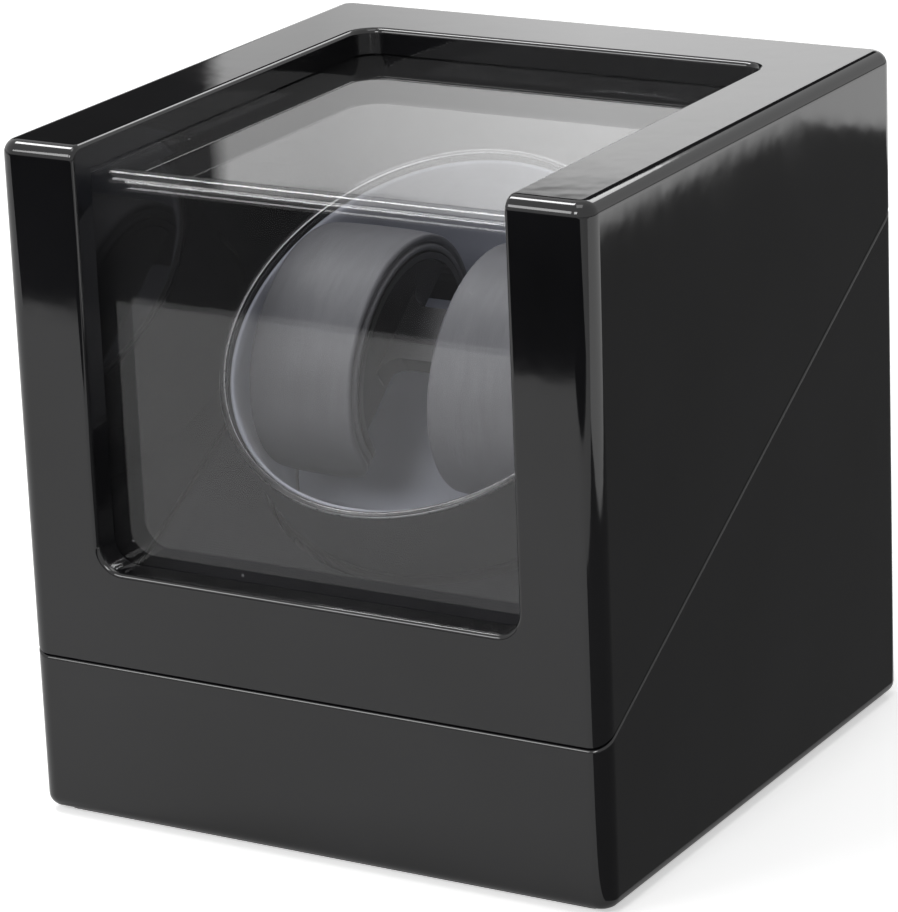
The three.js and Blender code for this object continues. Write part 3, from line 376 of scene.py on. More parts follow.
# ---- Material helpers ------------------------------------------------------------------------------------
class Recipe:
    """The nodes of a material, or of the world where one is given, made one by one and wired by name."""

    def __init__(self, name, world=None):
        self.material = world or bpy.data.materials.new(name)
        self.material.use_nodes = True
        self.tree = self.material.node_tree
        self.tree.nodes.clear()
        self.output = self.node("ShaderNodeOutputWorld" if world else "ShaderNodeOutputMaterial")

    def node(self, kind, values=None, **settings):
        made = self.tree.nodes.new(kind)
        for key, value in settings.items():
            setattr(made, key, value)
        for key, value in (values or {}).items():
            if isinstance(value, bpy.types.NodeSocket):
                self.tree.links.new(value, made.inputs[key])
            else:
                made.inputs[key].default_value = value
        return made

    def where(self, scale=(1, 1, 1), turn=(0, 0, 0)):
        source = self.node("ShaderNodeTexCoord").outputs["Object"]
        return self.node(
            "ShaderNodeMapping", {"Vector": source, "Scale": scale, "Rotation": turn}
        ).outputs["Vector"]

    def noise(self, where, scale, detail=2.0, roughness=0.5):
        return self.node(
            "ShaderNodeTexNoise", {"Vector": where, "Scale": scale, "Detail": detail, "Roughness": roughness}
        ).outputs["Fac"]

    def cells(self, where, scale):
        values = {"Vector": where, "Scale": scale}
        return self.node("ShaderNodeTexVoronoi", values, feature="F1").outputs["Distance"]

    def ramp(self, factor, stops):
        made = self.node("ShaderNodeValToRGB", {"Fac": factor})
        elements = made.color_ramp.elements
        while len(elements) < len(stops):
            elements.new(0.5)
        for element, (position, colour) in zip(elements, stops):
            element.position = position
            element.color = (*colour, 1) if hasattr(colour, "__len__") else (colour, colour, colour, 1)
        return made.outputs["Color"]

    def spread(self, factor, low, high, from_low=0.3, from_high=0.7):
        return self.node(
            "ShaderNodeMapRange",
            {"Value": factor, "From Min": from_low, "From Max": from_high, "To Min": low, "To Max": high},
        ).outputs["Result"]

    def math(self, operation, *values):
        return self.node("ShaderNodeMath", dict(enumerate(values)), operation=operation).outputs["Value"]

    def bump(self, height, distance, strength=1.0, normal=None):
        values = {"Height": height, "Distance": distance, "Strength": strength}
        if normal is not None:
            values["Normal"] = normal
        return self.node("ShaderNodeBump", values).outputs["Normal"]

    def surface(self, shader):
        self.tree.links.new(shader, self.output.inputs["Surface"])
        return self.material

    def principled(self, **values):
        inputs = {key.replace("_", " "): value for key, value in values.items()}
        return self.surface(self.node("ShaderNodeBsdfPrincipled", inputs).outputs["BSDF"])

    def glow(self, strength):
        return self.node("ShaderNodeEmission", {"Strength": strength}).outputs["Emission"]


def mottled(recipe, colour, factor, dark, light, low=0.3, high=0.7):
    """The colour, from its dark to its light share as the factor rises."""
    stops = [(low, [channel * dark for channel in colour]), (high, [channel * light for channel in colour])]
    return recipe.ramp(factor, stops)


def lacquer():
    finish = bpy.context.scene.winder_finish
    recipe = Recipe("Piano lacquer")
    here = recipe.where()
    cloud = recipe.noise(here, 26, 4)
    colour = mottled(recipe, finish.lacquer, cloud, 0.75, 1.5, high=0.75)
    rough = recipe.spread(recipe.noise(here, 45, 5, 0.65), 0.035, 0.075)
    waves = recipe.bump(recipe.noise(here, 22, 3), 0.035 * MM)
    peel = recipe.bump(recipe.noise(here, 150, 1), 0.012 * MM, 1.0, waves)
    return recipe.principled(Base_Color=colour, Roughness=rough, Normal=peel, IOR=1.5)


def inner_lacquer():
    finish = bpy.context.scene.winder_finish
    recipe = Recipe("Satin black paint")
    here = recipe.where()
    colour = mottled(recipe, finish.lacquer, recipe.noise(here, 90, 5), 1.4, 2.6)
    rough = recipe.spread(recipe.noise(here, 60, 4), 0.34, 0.5)
    grain = recipe.bump(recipe.noise(here, 700, 3), 0.02 * MM)
    return recipe.principled(Base_Color=colour, Roughness=rough, Normal=grain, IOR=1.5)


def acrylic():
    """A clear sheet that mirrors more towards its edges, with a faint haze and a few specks of dust."""
    recipe = Recipe("Clear acrylic")
    here = recipe.where()
    peel = recipe.bump(recipe.noise(here, 60, 1), 0.008 * MM)
    facing = recipe.node("ShaderNodeLayerWeight", {"Blend": 0.5, "Normal": peel}).outputs["Facing"]
    gloss = recipe.math("MULTIPLY_ADD", recipe.math("POWER", facing, 5.0), 0.96, 0.04)
    glossy = recipe.node("ShaderNodeBsdfGlossy", {"Roughness": 0.02, "Normal": peel}).outputs["BSDF"]
    clear = recipe.node("ShaderNodeBsdfTransparent", {"Color": (0.985, 0.985, 0.99, 1)}).outputs["BSDF"]
    sheet = recipe.node("ShaderNodeMixShader", {"Fac": gloss, 1: clear, 2: glossy}).outputs["Shader"]
    specks = recipe.cells(here, 90)
    patch = recipe.spread(recipe.noise(here, 24, 2), 0, 1, 0.48, 0.62)
    dust = recipe.math("MULTIPLY_ADD", recipe.spread(specks, 0.5, 0, 0.015, 0.05), patch, 0.007)
    lint = recipe.node("ShaderNodeBsdfDiffuse", {"Color": (0.6, 0.6, 0.62, 1)}).outputs["BSDF"]
    whole = recipe.node("ShaderNodeMixShader", {"Fac": dust, 1: sheet, 2: lint}).outputs["Shader"]
    return recipe.surface(whole)


def weave(recipe, here, scale):
    """Height of a plain weave."""
    values = {"Vector": here, "Scale": scale, "Distortion": 0.6, "Detail": 1}
    warp, weft = (
        recipe.node("ShaderNodeTexWave", values, bands_direction=way).outputs["Fac"] for way in ("X", "Y")
    )
    return recipe.math("ADD", warp, weft)


def cup_satin():
    finish = bpy.context.scene.winder_finish
    recipe = Recipe("Cup satin")
    solid = recipe.where()
    colour = mottled(recipe, finish.satin, recipe.noise(solid, 38, 3), 0.86, 1.12)
    rough = recipe.spread(recipe.noise(solid, 60, 3), 0.42, 0.56)
    fine = recipe.bump(recipe.noise(recipe.where(scale=(1, 1, 0.3)), 900, 2), 0.01 * MM, 0.4)
    soft = recipe.bump(recipe.noise(solid, 70, 2), 0.35 * MM, 0.8, fine)
    return recipe.principled(
        Base_Color=colour, Roughness=rough, Normal=soft, Sheen_Weight=0.35, Sheen_Roughness=0.4,
    )


def cuff_leather():
    finish = bpy.context.scene.winder_finish
    recipe = Recipe("Cuff leather")
    solid = recipe.where()
    streak = recipe.noise(recipe.where(scale=(6, 1, 1)), 90, 4, 0.6)
    pores = recipe.cells(solid, 1500)
    worn = recipe.noise(solid, 45, 3)
    tone = recipe.math("MULTIPLY_ADD", streak, 0.45, recipe.math("MULTIPLY", worn, 0.55))
    colour = mottled(recipe, finish.leather, tone, 0.82, 1.2, 0.35, 0.65)
    rough = recipe.spread(worn, 0.44, 0.58)
    creases = recipe.bump(streak, 0.09 * MM, 0.8)
    grain = recipe.bump(pores, 0.015 * MM, 0.4, creases)
    return recipe.principled(Base_Color=colour, Roughness=rough, Normal=grain, IOR=1.48)


def deck_cloth():
    finish = bpy.context.scene.winder_finish
    recipe = Recipe("Black deck cloth")
    solid = recipe.where()
    colour = mottled(recipe, finish.cloth, recipe.noise(solid, 60, 4), 0.8, 1.25)
    nap = recipe.bump(recipe.noise(solid, 1600, 3), 0.03 * MM, 0.4)
    threads = recipe.bump(weave(recipe, solid, 500), 0.02 * MM, 0.3, nap)
    return recipe.principled(Base_Color=colour, Roughness=0.9, Normal=threads, Specular_IOR_Level=0.2)


def base_felt():
    recipe = Recipe("Base felt")
    solid = recipe.where()
    fibres = recipe.noise(solid, 1100, 5, 0.7)
    colour = recipe.ramp(fibres, [(0.3, 0.008), (0.7, 0.03)])
    return recipe.principled(
        Base_Color=colour, Roughness=0.95, Normal=recipe.bump(fibres, 0.15 * MM, 0.9), Sheen_Weight=0.3,
    )


def plastic(name, colour, rough, grain=900, depth=0.012, gloss=0.5):
    recipe = Recipe(name)
    solid = recipe.where()
    return recipe.principled(
        Base_Color=mottled(recipe, colour, recipe.noise(solid, 80, 3), 0.88, 1.14),
        Roughness=recipe.spread(recipe.noise(solid, 140, 4), rough * 0.85, rough * 1.2),
        Normal=recipe.bump(recipe.noise(solid, grain, 2), depth * MM), IOR=1.5, Specular_IOR_Level=gloss,
    )


def metal(name, colour, rough, stretch=(1, 1, 1)):
    recipe = Recipe(name)
    lines = recipe.noise(recipe.where(scale=stretch), 900, 4, 0.6)
    shade = mottled(recipe, colour, recipe.noise(recipe.where(), 160, 3), 0.85, 1.05)
    return recipe.principled(
        Base_Color=shade, Metallic=1.0, Roughness=recipe.spread(lines, rough * 0.8, rough * 1.3),
        Normal=recipe.bump(lines, 0.006 * MM),
    )


def circuit_green():
    recipe = Recipe("Circuit board")
    solid = recipe.where()
    tracks = recipe.node("ShaderNodeTexBrick", {
        "Vector": recipe.where(turn=(math.pi / 2, 0, 0)), "Scale": 120, "Mortar Size": 0.06,
        "Color1": (0.012, 0.09, 0.035, 1), "Color2": (0.01, 0.075, 0.03, 1), "Mortar": (0.03, 0.16, 0.07, 1),
    }).outputs["Color"]
    rough = recipe.spread(recipe.noise(solid, 300, 2), 0.3, 0.45)
    grain = recipe.bump(recipe.noise(solid, 500, 2), 0.02 * MM)
    return recipe.principled(Base_Color=tracks, Roughness=rough, Normal=grain)


def finishes():
    """Every finish on the winder, made once, by its plain name."""
    made = bpy.context.scene.get("winder_finishes")
    if made:
        return {key: bpy.data.materials[name] for key, name in made.items()}
    table = {
        "lacquer": lacquer(),
        "paint": inner_lacquer(),
        "acrylic": acrylic(),
        "satin": cup_satin(),
        "leather": cuff_leather(),
        "cloth": deck_cloth(),
        "felt": base_felt(),
        "gloss": plastic("Gloss black plastic", (0.012, 0.012, 0.014), 0.12, 300, 0.006),
        "black": plastic("Moulded black plastic", (0.012, 0.012, 0.013), 0.36),
        "panel": plastic("Soft black moulding", (0.006, 0.006, 0.007), 0.42, gloss=0.16),
        # Bright metal for two narrow bands on the cup's lip: painted highlight lines along the gloss black
        # lip.
        "lip": metal("Painted lip highlight", (0.6, 0.6, 0.62), 0.3),
        "nylon": plastic("White nylon", (0.72, 0.70, 0.64), 0.42),
        "steel": metal("Brushed steel", (0.56, 0.57, 0.59), 0.26, (1, 6, 1)),
        "brass": metal("Satin brass", (0.62, 0.47, 0.2), 0.28, (5, 1, 1)),
        "board": circuit_green(),
        "lead": plastic("Red lead", (0.4, 0.03, 0.025), 0.4),
    }
    bpy.context.scene["winder_finishes"] = {key: material.name for key, material in table.items()}
    return table


# ---- Camera and stage ------------------------------------------------------------------------------------
class WINDER_OT_camera(bpy.types.Operator):
    """Sets the camera that looks at the winder from its front right"""

    bl_idname = "winder.camera"
    bl_label = "Camera"

    def execute(self, context):
        azimuth, elevation, roll = (
            math.radians(angle) for angle in (CAMERA_AZIMUTH, CAMERA_ELEVATION, CAMERA_ROLL)
        )
        out = math.cos(elevation)
        back = Vector((math.sin(azimuth) * out, -math.cos(azimuth) * out, math.sin(elevation)))
        level = Vector((math.cos(azimuth), math.sin(azimuth), 0))
        upright = back.cross(level)
        right = level * math.cos(roll) + upright * math.sin(roll)
        up = upright * math.cos(roll) - level * math.sin(roll)
        data = bpy.data.cameras.new("Camera")
        data.lens, data.sensor_width = CAMERA_LENS, CAMERA_SENSOR
        data.shift_x, data.shift_y = CAMERA_SHIFT
        data.clip_start, data.clip_end = 0.01, 100
        camera = bpy.data.objects.new("Camera", data)
        context.scene.collection.objects.link(camera)
        turn = Matrix((right, up, back)).transposed().to_4x4()
        camera.matrix_world = Matrix.Translation(CAMERA_PLACE) @ turn
        context.scene.camera = camera
        return {"FINISHED"}


def seen_white(recipe):
    """1 for rays that show the surroundings: straight, mirrored or through clear sheet."""
    path = recipe.node("ShaderNodeLightPath").outputs
    shown = recipe.math("MAXIMUM", path["Is Camera Ray"], path["Is Glossy Ray"])
    return recipe.math("MAXIMUM", shown, path["Is Transmission Ray"])


def glow_card(name, corners, material):
    """A flat card that only mirrored rays see; corners are low left, low right, top left."""
    clear_selection()
    start, along, up = (Vector(corner) for corner in corners)
    bpy.ops.mesh.primitive_plane_add(size=1)
    card = name_new(name)
    edge, rise = along - start, up - start
    turn = Matrix((edge.normalized(), rise.normalized(), edge.cross(rise).normalized())).transposed().to_4x4()
    card.matrix_world = Matrix.Translation(start + (edge + rise) / 2) @ turn @ Matrix.Diagonal(
        (edge.length, rise.length, 1, 1)
    )
    settle(card)
    card.data.materials.append(material)
    card.visible_camera = card.visible_diffuse = card.visible_transmission = False
    card.visible_shadow = card.visible_volume_scatter = False
    return card


def area_lamp(name, spot, aim, size, power):
    data = bpy.data.lights.new(name, "AREA")
    data.shape = "RECTANGLE"
    data.size, data.size_y = size
    data.energy = power
    lamp = bpy.data.objects.new(name, data)
    bpy.context.scene.collection.objects.link(lamp)
    lamp.location = spot
    lamp.rotation_mode = "QUATERNION"
    lamp.rotation_quaternion = (Vector(spot) - aim).to_track_quat("Z", "Y")
    return lamp


class WINDER_OT_stage(bpy.types.Operator):
    """Lays the pale floor and sets the lamps, the room and the cards that the gloss mirrors"""

    bl_idname = "winder.stage"
    bl_label = "Stage"

    def execute(self, context):
        stage = context.scene.winder_stage
        context.scene.view_settings.view_transform = "Standard"
        self.room(context, stage)
        self.floor(stage)
        self.cards()
        middle = Vector((0, 0, CASE_HIGH.z / 2))
        for name, (spot, size, share) in LAMPS.items():
            area_lamp(name, spot, middle, size, stage.key_level * share)
        return {"FINISHED"}

    def room(self, context, stage):
        context.scene.world = bpy.data.worlds.new("Room")
        recipe = Recipe("Room", context.scene.world)
        level = recipe.spread(seen_white(recipe), stage.room_level, 1.0, 0.0, 1.0)
        walls = recipe.node("ShaderNodeBackground", {"Color": (1, 1, 1, 1), "Strength": level})
        recipe.surface(walls.outputs["Background"])

    def floor(self, stage):
        clear_selection()
        bpy.ops.mesh.primitive_plane_add(size=12)
        floor = name_new("floor")
        recipe = Recipe("White floor")
        mottle = recipe.noise(recipe.where(), 6, 2)
        colour = recipe.ramp(mottle, [(0.3, 0.78), (0.7, 0.8)])
        paper = recipe.node("ShaderNodeBsdfDiffuse", {"Color": colour}).outputs["BSDF"]
        straight = recipe.node("ShaderNodeLightPath").outputs["Is Camera Ray"]
        level = recipe.math("MULTIPLY", seen_white(recipe), stage.floor_level)
        level = recipe.math("MULTIPLY_ADD", straight, stage.paper_level, level)
        both = recipe.node("ShaderNodeAddShader", {0: paper, 1: recipe.glow(level)}).outputs["Shader"]
        floor.data.materials.append(recipe.surface(both))

    def cards(self):
        glow_card("dark_room_card", DARK_ROOM, self.dark_glow())
        glow_card("backdrop_card", BACKDROP, self.backdrop_glow())
        glow_card("side_table_card", SIDE_TABLE, self.side_glow())

    def dark_glow(self):
        recipe = Recipe("Dark room")
        return recipe.surface(recipe.glow(DARK_LEVEL))

    def backdrop_glow(self):
        """Dark above a ragged line and left of an upright one, and brighter to the right between them."""
        recipe = Recipe("Backdrop glow")
        wobble = recipe.noise(recipe.where(), 9, 2)
        split = recipe.node("ShaderNodeSeparateXYZ", {"Vector": recipe.where()}).outputs
        side = recipe.spread(split["X"], 0, 1, BACKDROP_LEFT, BACKDROP_LEFT + 0.015)
        height = recipe.math("MULTIPLY_ADD", wobble, 0.012, split["Z"])
        fade = recipe.spread(height, 1.65, 1.55, BACKDROP_TOP - 0.06, BACKDROP_TOP)
        top = recipe.spread(height, 1, 0, BACKDROP_TOP, BACKDROP_TOP + 0.008)
        across = recipe.spread(split["X"], 0.64, 1, BACKDROP_FULL - 0.2, BACKDROP_FULL)
        lit = recipe.math("MULTIPLY", side, across)
        level = recipe.math("MULTIPLY", recipe.math("MULTIPLY", lit, fade), top)
        return recipe.surface(recipe.glow(recipe.math("ADD", level, DARK_LEVEL)))

    def side_glow(self):
        """Grey close to the case, a painted shadow of the case on the table, and bright beyond a line beside
        it and behind it, painted light on the table.
        """
        recipe = Recipe("Side table glow")
        split = recipe.node("ShaderNodeSeparateXYZ", {"Vector": recipe.where()}).outputs
        aside = recipe.math("SUBTRACT", split["X"], SIDE_EDGE_X)
        behind = recipe.math("SUBTRACT", split["Y"], SIDE_EDGE_Y)
        wobble = recipe.noise(recipe.where(), 14, 3)
        far = recipe.math("MULTIPLY_ADD", wobble, 0.012, recipe.math("MAXIMUM", aside, behind))
        # Painted shadow of the case near it, painted light on the table beyond.
        return recipe.surface(recipe.glow(recipe.spread(far, 0.16, 1.75, 0.002, 0.012)))


# ---- Case ------------------------------------------------------------------------------------------------
def near(a, b, within=0.02 * MM):
    return abs(a - b) < within


def case_block(name):
    """The whole outside of the case, with all its edges rounded."""
    sizes = bpy.context.scene.winder_case
    obj = block(name, CASE_LOW, CASE_HIGH)
    edit(obj, "EDGE")
    round_edges(obj, lambda e: abs(e.verts[0].co.z - e.verts[1].co.z) > MM, sizes.corner_round, 8)
    round_edges(obj, lambda e: all(near(v.co.z, CASE_HIGH.z) for v in e.verts), sizes.top_round, 6)
    round_edges(obj, lambda e: all(near(v.co.z, CASE_LOW.z) for v in e.verts), sizes.foot_round, 5)
    bpy.ops.object.mode_set(mode="OBJECT")
    return obj


def part_at_seam(obj, upper):
    """Keeps one side of the seam and rounds the edge of the cut."""
    sizes = bpy.context.scene.winder_case
    on_plane = SEAM_FRONT + SEAM_NORMAL * (SEAM_GAP / 2 if upper else -SEAM_GAP / 2)
    edit(obj, "FACE")
    bpy.ops.mesh.select_all(action="SELECT")
    bpy.ops.mesh.bisect(
        plane_co=on_plane, plane_no=SEAM_NORMAL, use_fill=True, clear_inner=upper, clear_outer=not upper
    )
    round_edges(
        obj, lambda e: all(abs((v.co - on_plane).dot(SEAM_NORMAL)) < 1e-6 for v in e.verts),
        sizes.seam_round, 3
    )
    bpy.ops.object.mode_set(mode="OBJECT")


def magnet_bore(name, low, high):
    """A bore for a magnet, across the seam in the middle of the front rails."""
    along = BOARD / 2 / SEAM_ALONG.y
    start = SEAM_PLACE @ Vector((0, along, low))
    return bar_along(name, MAGNET_BORE, start, SEAM_PLACE @ Vector((0, along, high)), 40)


class WINDER_OT_base(bpy.types.Operator):
    """Models the lower half of the case, with the recess for the control plate"""

    bl_idname = "winder.base"
    bl_label = "Base"

    def execute(self, context):
        base = case_block("base_shell")
        part_at_seam(base, upper=False)
        plate_low, plate_high = CONTROL_PLATE
        cut_with(
            base,
            block("hollow", (-INNER.x, -INNER.y, FLOOR_TOP), (INNER.x, INNER.y, 0.3)),
            block("recess", (plate_low.x - FIT, plate_low.y - FIT, plate_low.z - FIT),
                  (plate_high.x + FIT, CASE_HIGH.y + MM, plate_high.z + FIT)),
            block("way_through", (plate_low.x + CONTROL_LEDGE, INNER.y - MM, plate_low.z + CONTROL_SILL),
                  (plate_high.x - CONTROL_LEDGE, CASE_HIGH.y + MM, plate_high.z - CONTROL_SILL)),
            magnet_bore("bore", -2.8 * MM, 2 * MM),
        )
        edit(base, "EDGE")
        back = CASE_HIGH.y
        round_edges(
            base,
            lambda e: all(near(v.co.y, back) and abs(v.co.x) < plate_high.x + MM and
                          plate_low.z - MM < v.co.z < plate_high.z + MM for v in e.verts)
            and len(e.link_faces) == 2 and e.calc_face_angle() > 1,
            0.5 * MM, 3,
        )
        bpy.ops.object.mode_set(mode="OBJECT")
        finish_hard(base)
        dress(base, finishes()["lacquer"], "base", "lacquer", "base_left_side", "base_right_side",
              "base_front_board", "base_back_board", "bottom_panel")
        return {"FINISHED"}


class WINDER_OT_lid(bpy.types.Operator):
    """Models the upper half of the case, with the window opening and the rebates behind it"""

    bl_idname = "winder.lid"
    bl_label = "Lid"

    def execute(self, context):
        sizes = context.scene.winder_case
        lid = case_block("lid_shell")
        part_at_seam(lid, upper=True)
        cut_with(
            lid,
            block("hollow", (-INNER.x, -INNER.y, 0), INNER),
            self.front_opening(sizes.window_corner),
            self.top_opening(sizes.window_corner),
            block("front_rebate", (SHEET_LOW.x - FIT, SHEET_LOW.y - FIT, SHEET_LOW.z - FIT),
                  (SHEET_HIGH.x + FIT, -INNER.y + MM, SHEET_HIGH.z + FIT)),
            block("top_rebate", (SHEET_LOW.x - FIT, SHEET_LOW.y - FIT, INNER.z - MM),
                  (SHEET_HIGH.x + FIT, SHEET_HIGH.y + FIT, SHEET_HIGH.z + FIT)),
            magnet_bore("bore", -2 * MM, 2.8 * MM),
        )
        edit(lid, "EDGE")
        round_edges(lid, self.on_window_edge, sizes.window_round, 5)
        bpy.ops.object.mode_set(mode="OBJECT")
        finish_hard(lid)
        dress(lid, finishes()["lacquer"], "lid", "lacquer", "lid_left_side", "lid_right_side",
              "lid_front_frame", "lid_top_frame", "lid_back_board")
        return {"FINISHED"}

    def front_opening(self, corner):
        tool = block("front_opening", (-WINDOW_HALF, CASE_LOW.y - MM, WINDOW_SILL),
                     (WINDOW_HALF, -INNER.y + MM, CASE_HIGH.z + MM))
        edit(tool, "EDGE")
        round_edges(tool, lambda e: all(near(v.co.z, WINDOW_SILL) for v in e.verts)
                    and abs(e.verts[0].co.y - e.verts[1].co.y) > MM, corner, 10)
        bpy.ops.object.mode_set(mode="OBJECT")
        return tool

    def top_opening(self, corner):
        tool = block("top_opening", (-WINDOW_HALF, CASE_LOW.y - MM, INNER.z - MM),
                     (WINDOW_HALF, WINDOW_REAR, CASE_HIGH.z + MM))
        edit(tool, "EDGE")
        round_edges(tool, lambda e: all(near(v.co.y, WINDOW_REAR) for v in e.verts)
                    and abs(e.verts[0].co.z - e.verts[1].co.z) > MM, corner, 10)
        bpy.ops.object.mode_set(mode="OBJECT")
        return tool

    def on_window_edge(self, e):
        if len(e.link_faces) != 2 or e.calc_face_angle() < 1:
            return False
        turn = bpy.context.scene.winder_case.top_round
        centre = Vector((CASE_LOW.y + turn, CASE_HIGH.z - turn))
        for v in e.verts:
            x, y, z = v.co
            on_front, on_top = near(y, CASE_LOW.y), near(z, CASE_HIGH.z)
            on_turn = y < centre.x and z > centre.y and near((Vector((y, z)) - centre).length, turn, 0.1 * MM)
            if abs(x) > WINDOW_HALF + 0.1 * MM or z < WINDOW_SILL - MM or not (on_front or on_top or on_turn):
                return False
        return True


class WINDER_OT_window(bpy.types.Operator):
    """Models the clear sheet that bends over the lid's front edge"""

    bl_idname = "winder.window"
    bl_label = "Window"

    def execute(self, context):
        under = SHEET_HIGH.z - SHEET_THICK
        behind = SHEET_LOW.y + SHEET_THICK
        sheet = block("lid_window_sheet", SHEET_LOW, (SHEET_HIGH.x, behind, SHEET_HIGH.z))
        edit(sheet, "FACE")
        bpy.ops.mesh.select_all(action="SELECT")
        bpy.ops.mesh.bisect(plane_co=(0, 0, under), plane_no=(0, 0, 1))
        pick(sheet, lambda f: f.normal.y > 0.9 and f.calc_center_median().z > under, "FACE")
        bpy.ops.mesh.extrude_region_move(TRANSFORM_OT_translate={"value": (0, SHEET_HIGH.y - behind, 0)})
        bpy.ops.object.mode_set(mode="OBJECT")
        face_outwards(sheet)
        edit(sheet, "EDGE")
        for y, z, bend, steps in (
            (SHEET_LOW.y, SHEET_HIGH.z, SHEET_BEND_OUT, 14), (behind, under, SHEET_BEND_IN, 10)
        ):
            round_edges(
                sheet, lambda e: all(near(v.co.y, y) and near(v.co.z, z) for v in e.verts), bend, steps
            )
        bpy.ops.object.mode_set(mode="OBJECT")
        finish_hard(sheet, 40)
        dress(sheet, finishes()["acrylic"], "lid", "window", "lid_window")
        return {"FINISHED"}


# ---- Cup -------------------------------------------------------------------------------------------------
class WINDER_OT_cup(bpy.types.Operator):
    """Turns the cup, its satin lining and the padded floor in it"""

    bl_idname = "winder.cup"
    bl_label = "Cup"

    def execute(self, context):
        table = finishes()
        wall, fillet = CUP_RADIUS - CUP_WALL, 0.8 * MM
        profile = [(SHAFT_BORE, HUB_END), (HUB_RADIUS, HUB_END), (HUB_RADIUS, CUP_UNDER - fillet)]
        profile += [(HUB_RADIUS + fillet, CUP_UNDER)]
        profile += arc((CUP_RADIUS - CUP_ROUND, CUP_UNDER + CUP_ROUND), CUP_ROUND, -90, 0, 6)
        profile += arc((CUP_RADIUS - CUP_LIP, -CUP_LIP), CUP_LIP, 0, 180, 10)
        profile += [(wall, -4 * MM), (wall, CUP_FLOOR), (SHAFT_BORE, CUP_FLOOR)]
        cup = turned("cup_shell", profile, 160)
        place(cup, CUP_PLACE)
        finish_hard(cup, 35)
        dress(cup, table["gloss"], "rotor", "gloss_plastic", "rotor_cup")
        self.paint_lip_highlights(cup, table["lip"])
        self.lining(table["satin"])
        self.floor_pad(table["satin"], context.scene.winder_soft.pad_swell)
        return {"FINISHED"}

    def paint_lip_highlights(self, cup, material):
        """Gives narrow bands at the lip's outer and inner edge a bright metal finish: painted highlight lines
        on the gloss black cup.
        """
        cup.data.materials.append(material)
        inward = CUP_PLACE.inverted()
        for face in cup.data.polygons:
            middle = inward @ face.center
            out = math.hypot(middle.x, middle.y) - (CUP_RADIUS - CUP_LIP)
            if middle.z > -CUP_LIP and (out > 0.72 * CUP_LIP or -0.85 * CUP_LIP < out < -0.5 * CUP_LIP):
                face.material_index = 1

    def lining(self, material):
        low, high, inner = CUP_FLOOR + FIT, -2 * MM, LINING_RADIUS
        outer = inner + MM
        rows = 16
        rise = high - 0.5 * MM - low
        profile = [(outer, low)] + [(outer, low + rise * i / rows) for i in range(1, rows)]
        profile += arc((inner + 0.5 * MM, high - 0.5 * MM), 0.5 * MM, 0, 180, 6)
        profile += [(inner, low + rise * i / rows) for i in range(rows - 1, -1, -1)]
        lining = turned("cup_lining_satin", profile, 160)
        for vertex in lining.data.vertices:
            co = vertex.co
            radius = math.hypot(co.x, co.y)
            if radius < inner + 0.6 * MM and co.z < high - 0.4 * MM:
                ripple = noise.noise(Vector((co.x, co.y, co.z * 0.5)) * 90)
                push = 1 - 0.35 * MM * max(0.0, ripple + 0.25) / radius
                co.x, co.y = co.x * push, co.y * push
        place(lining, CUP_PLACE)
        finish_soft(lining)
        dress(lining, material, "rotor", "satin", "cup_lining")

    def floor_pad(self, material, swell):
        low, edge, hole = CUP_FLOOR + FIT, LINING_RADIUS - 0.4 * MM, 6 * MM
        top = low + 1.7 * MM
        profile = [(hole + 0.5 * MM, low), (edge - 0.6 * MM, low)]
        profile += arc((edge - 0.7 * MM, low + 0.75 * MM), 0.7 * MM, -60, 70, 4)
        steps = 14
        for i in range(steps + 1):
            across = i / steps
            radius = edge - 1.5 * MM + (hole + 1.5 * MM - edge + 1.5 * MM) * across
            profile.append((radius, top + swell * math.sin(math.pi * across) ** 0.6))
        profile += arc((hole + 0.8 * MM, low + 0.8 * MM), 0.7 * MM, 110, 240, 4)
        pad = turned("cup_floor_cushion", profile, 128)
        for vertex in pad.data.vertices:
            co = vertex.co
            if co.z > top:
                co.z += 0.22 * MM * noise.noise(Vector((co.x, co.y, 0)) * 110)
        place(pad, CUP_PLACE)
        finish_soft(pad)
        dress(pad, material, "rotor", "satin", "cup_floor_pad")


# ---- Cuffs -----------------------------------------------------------------------------------------------
def cuff_section(half_width, crown, piping):
    """Outline across a cuff, as (across, depth under the face): crowned face, rolled edges and piping."""
    roll = 1.0 * MM
    side = [(half_width * share, -crown * (1 - share ** 2.2)) for share in (0.0, 0.2, 0.4, 0.6, 0.75)]
    side += arc((half_width - 0.25 * MM - roll, roll), roll, -90, 35, 6)
    side += [(half_width - 1.5 * MM, 2.25 * MM)]
    side += arc((half_width - piping, 2.4 * MM + piping), piping, -75, 70, 6)
    side += [(half_width - 1.4 * MM, CUFF_FOAM - 0.05 * MM), (half_width * 0.6, CUFF_FOAM), (0, CUFF_FOAM)]
    return side + [(-across, depth) for across, depth in reversed(side[1:-1])]


def corner_pull(along, radius):
    """How far a rounded corner draws an edge in, at a distance along from the end."""
    return radius - math.sqrt(radius ** 2 - (radius - along) ** 2) if along < radius else 0.0


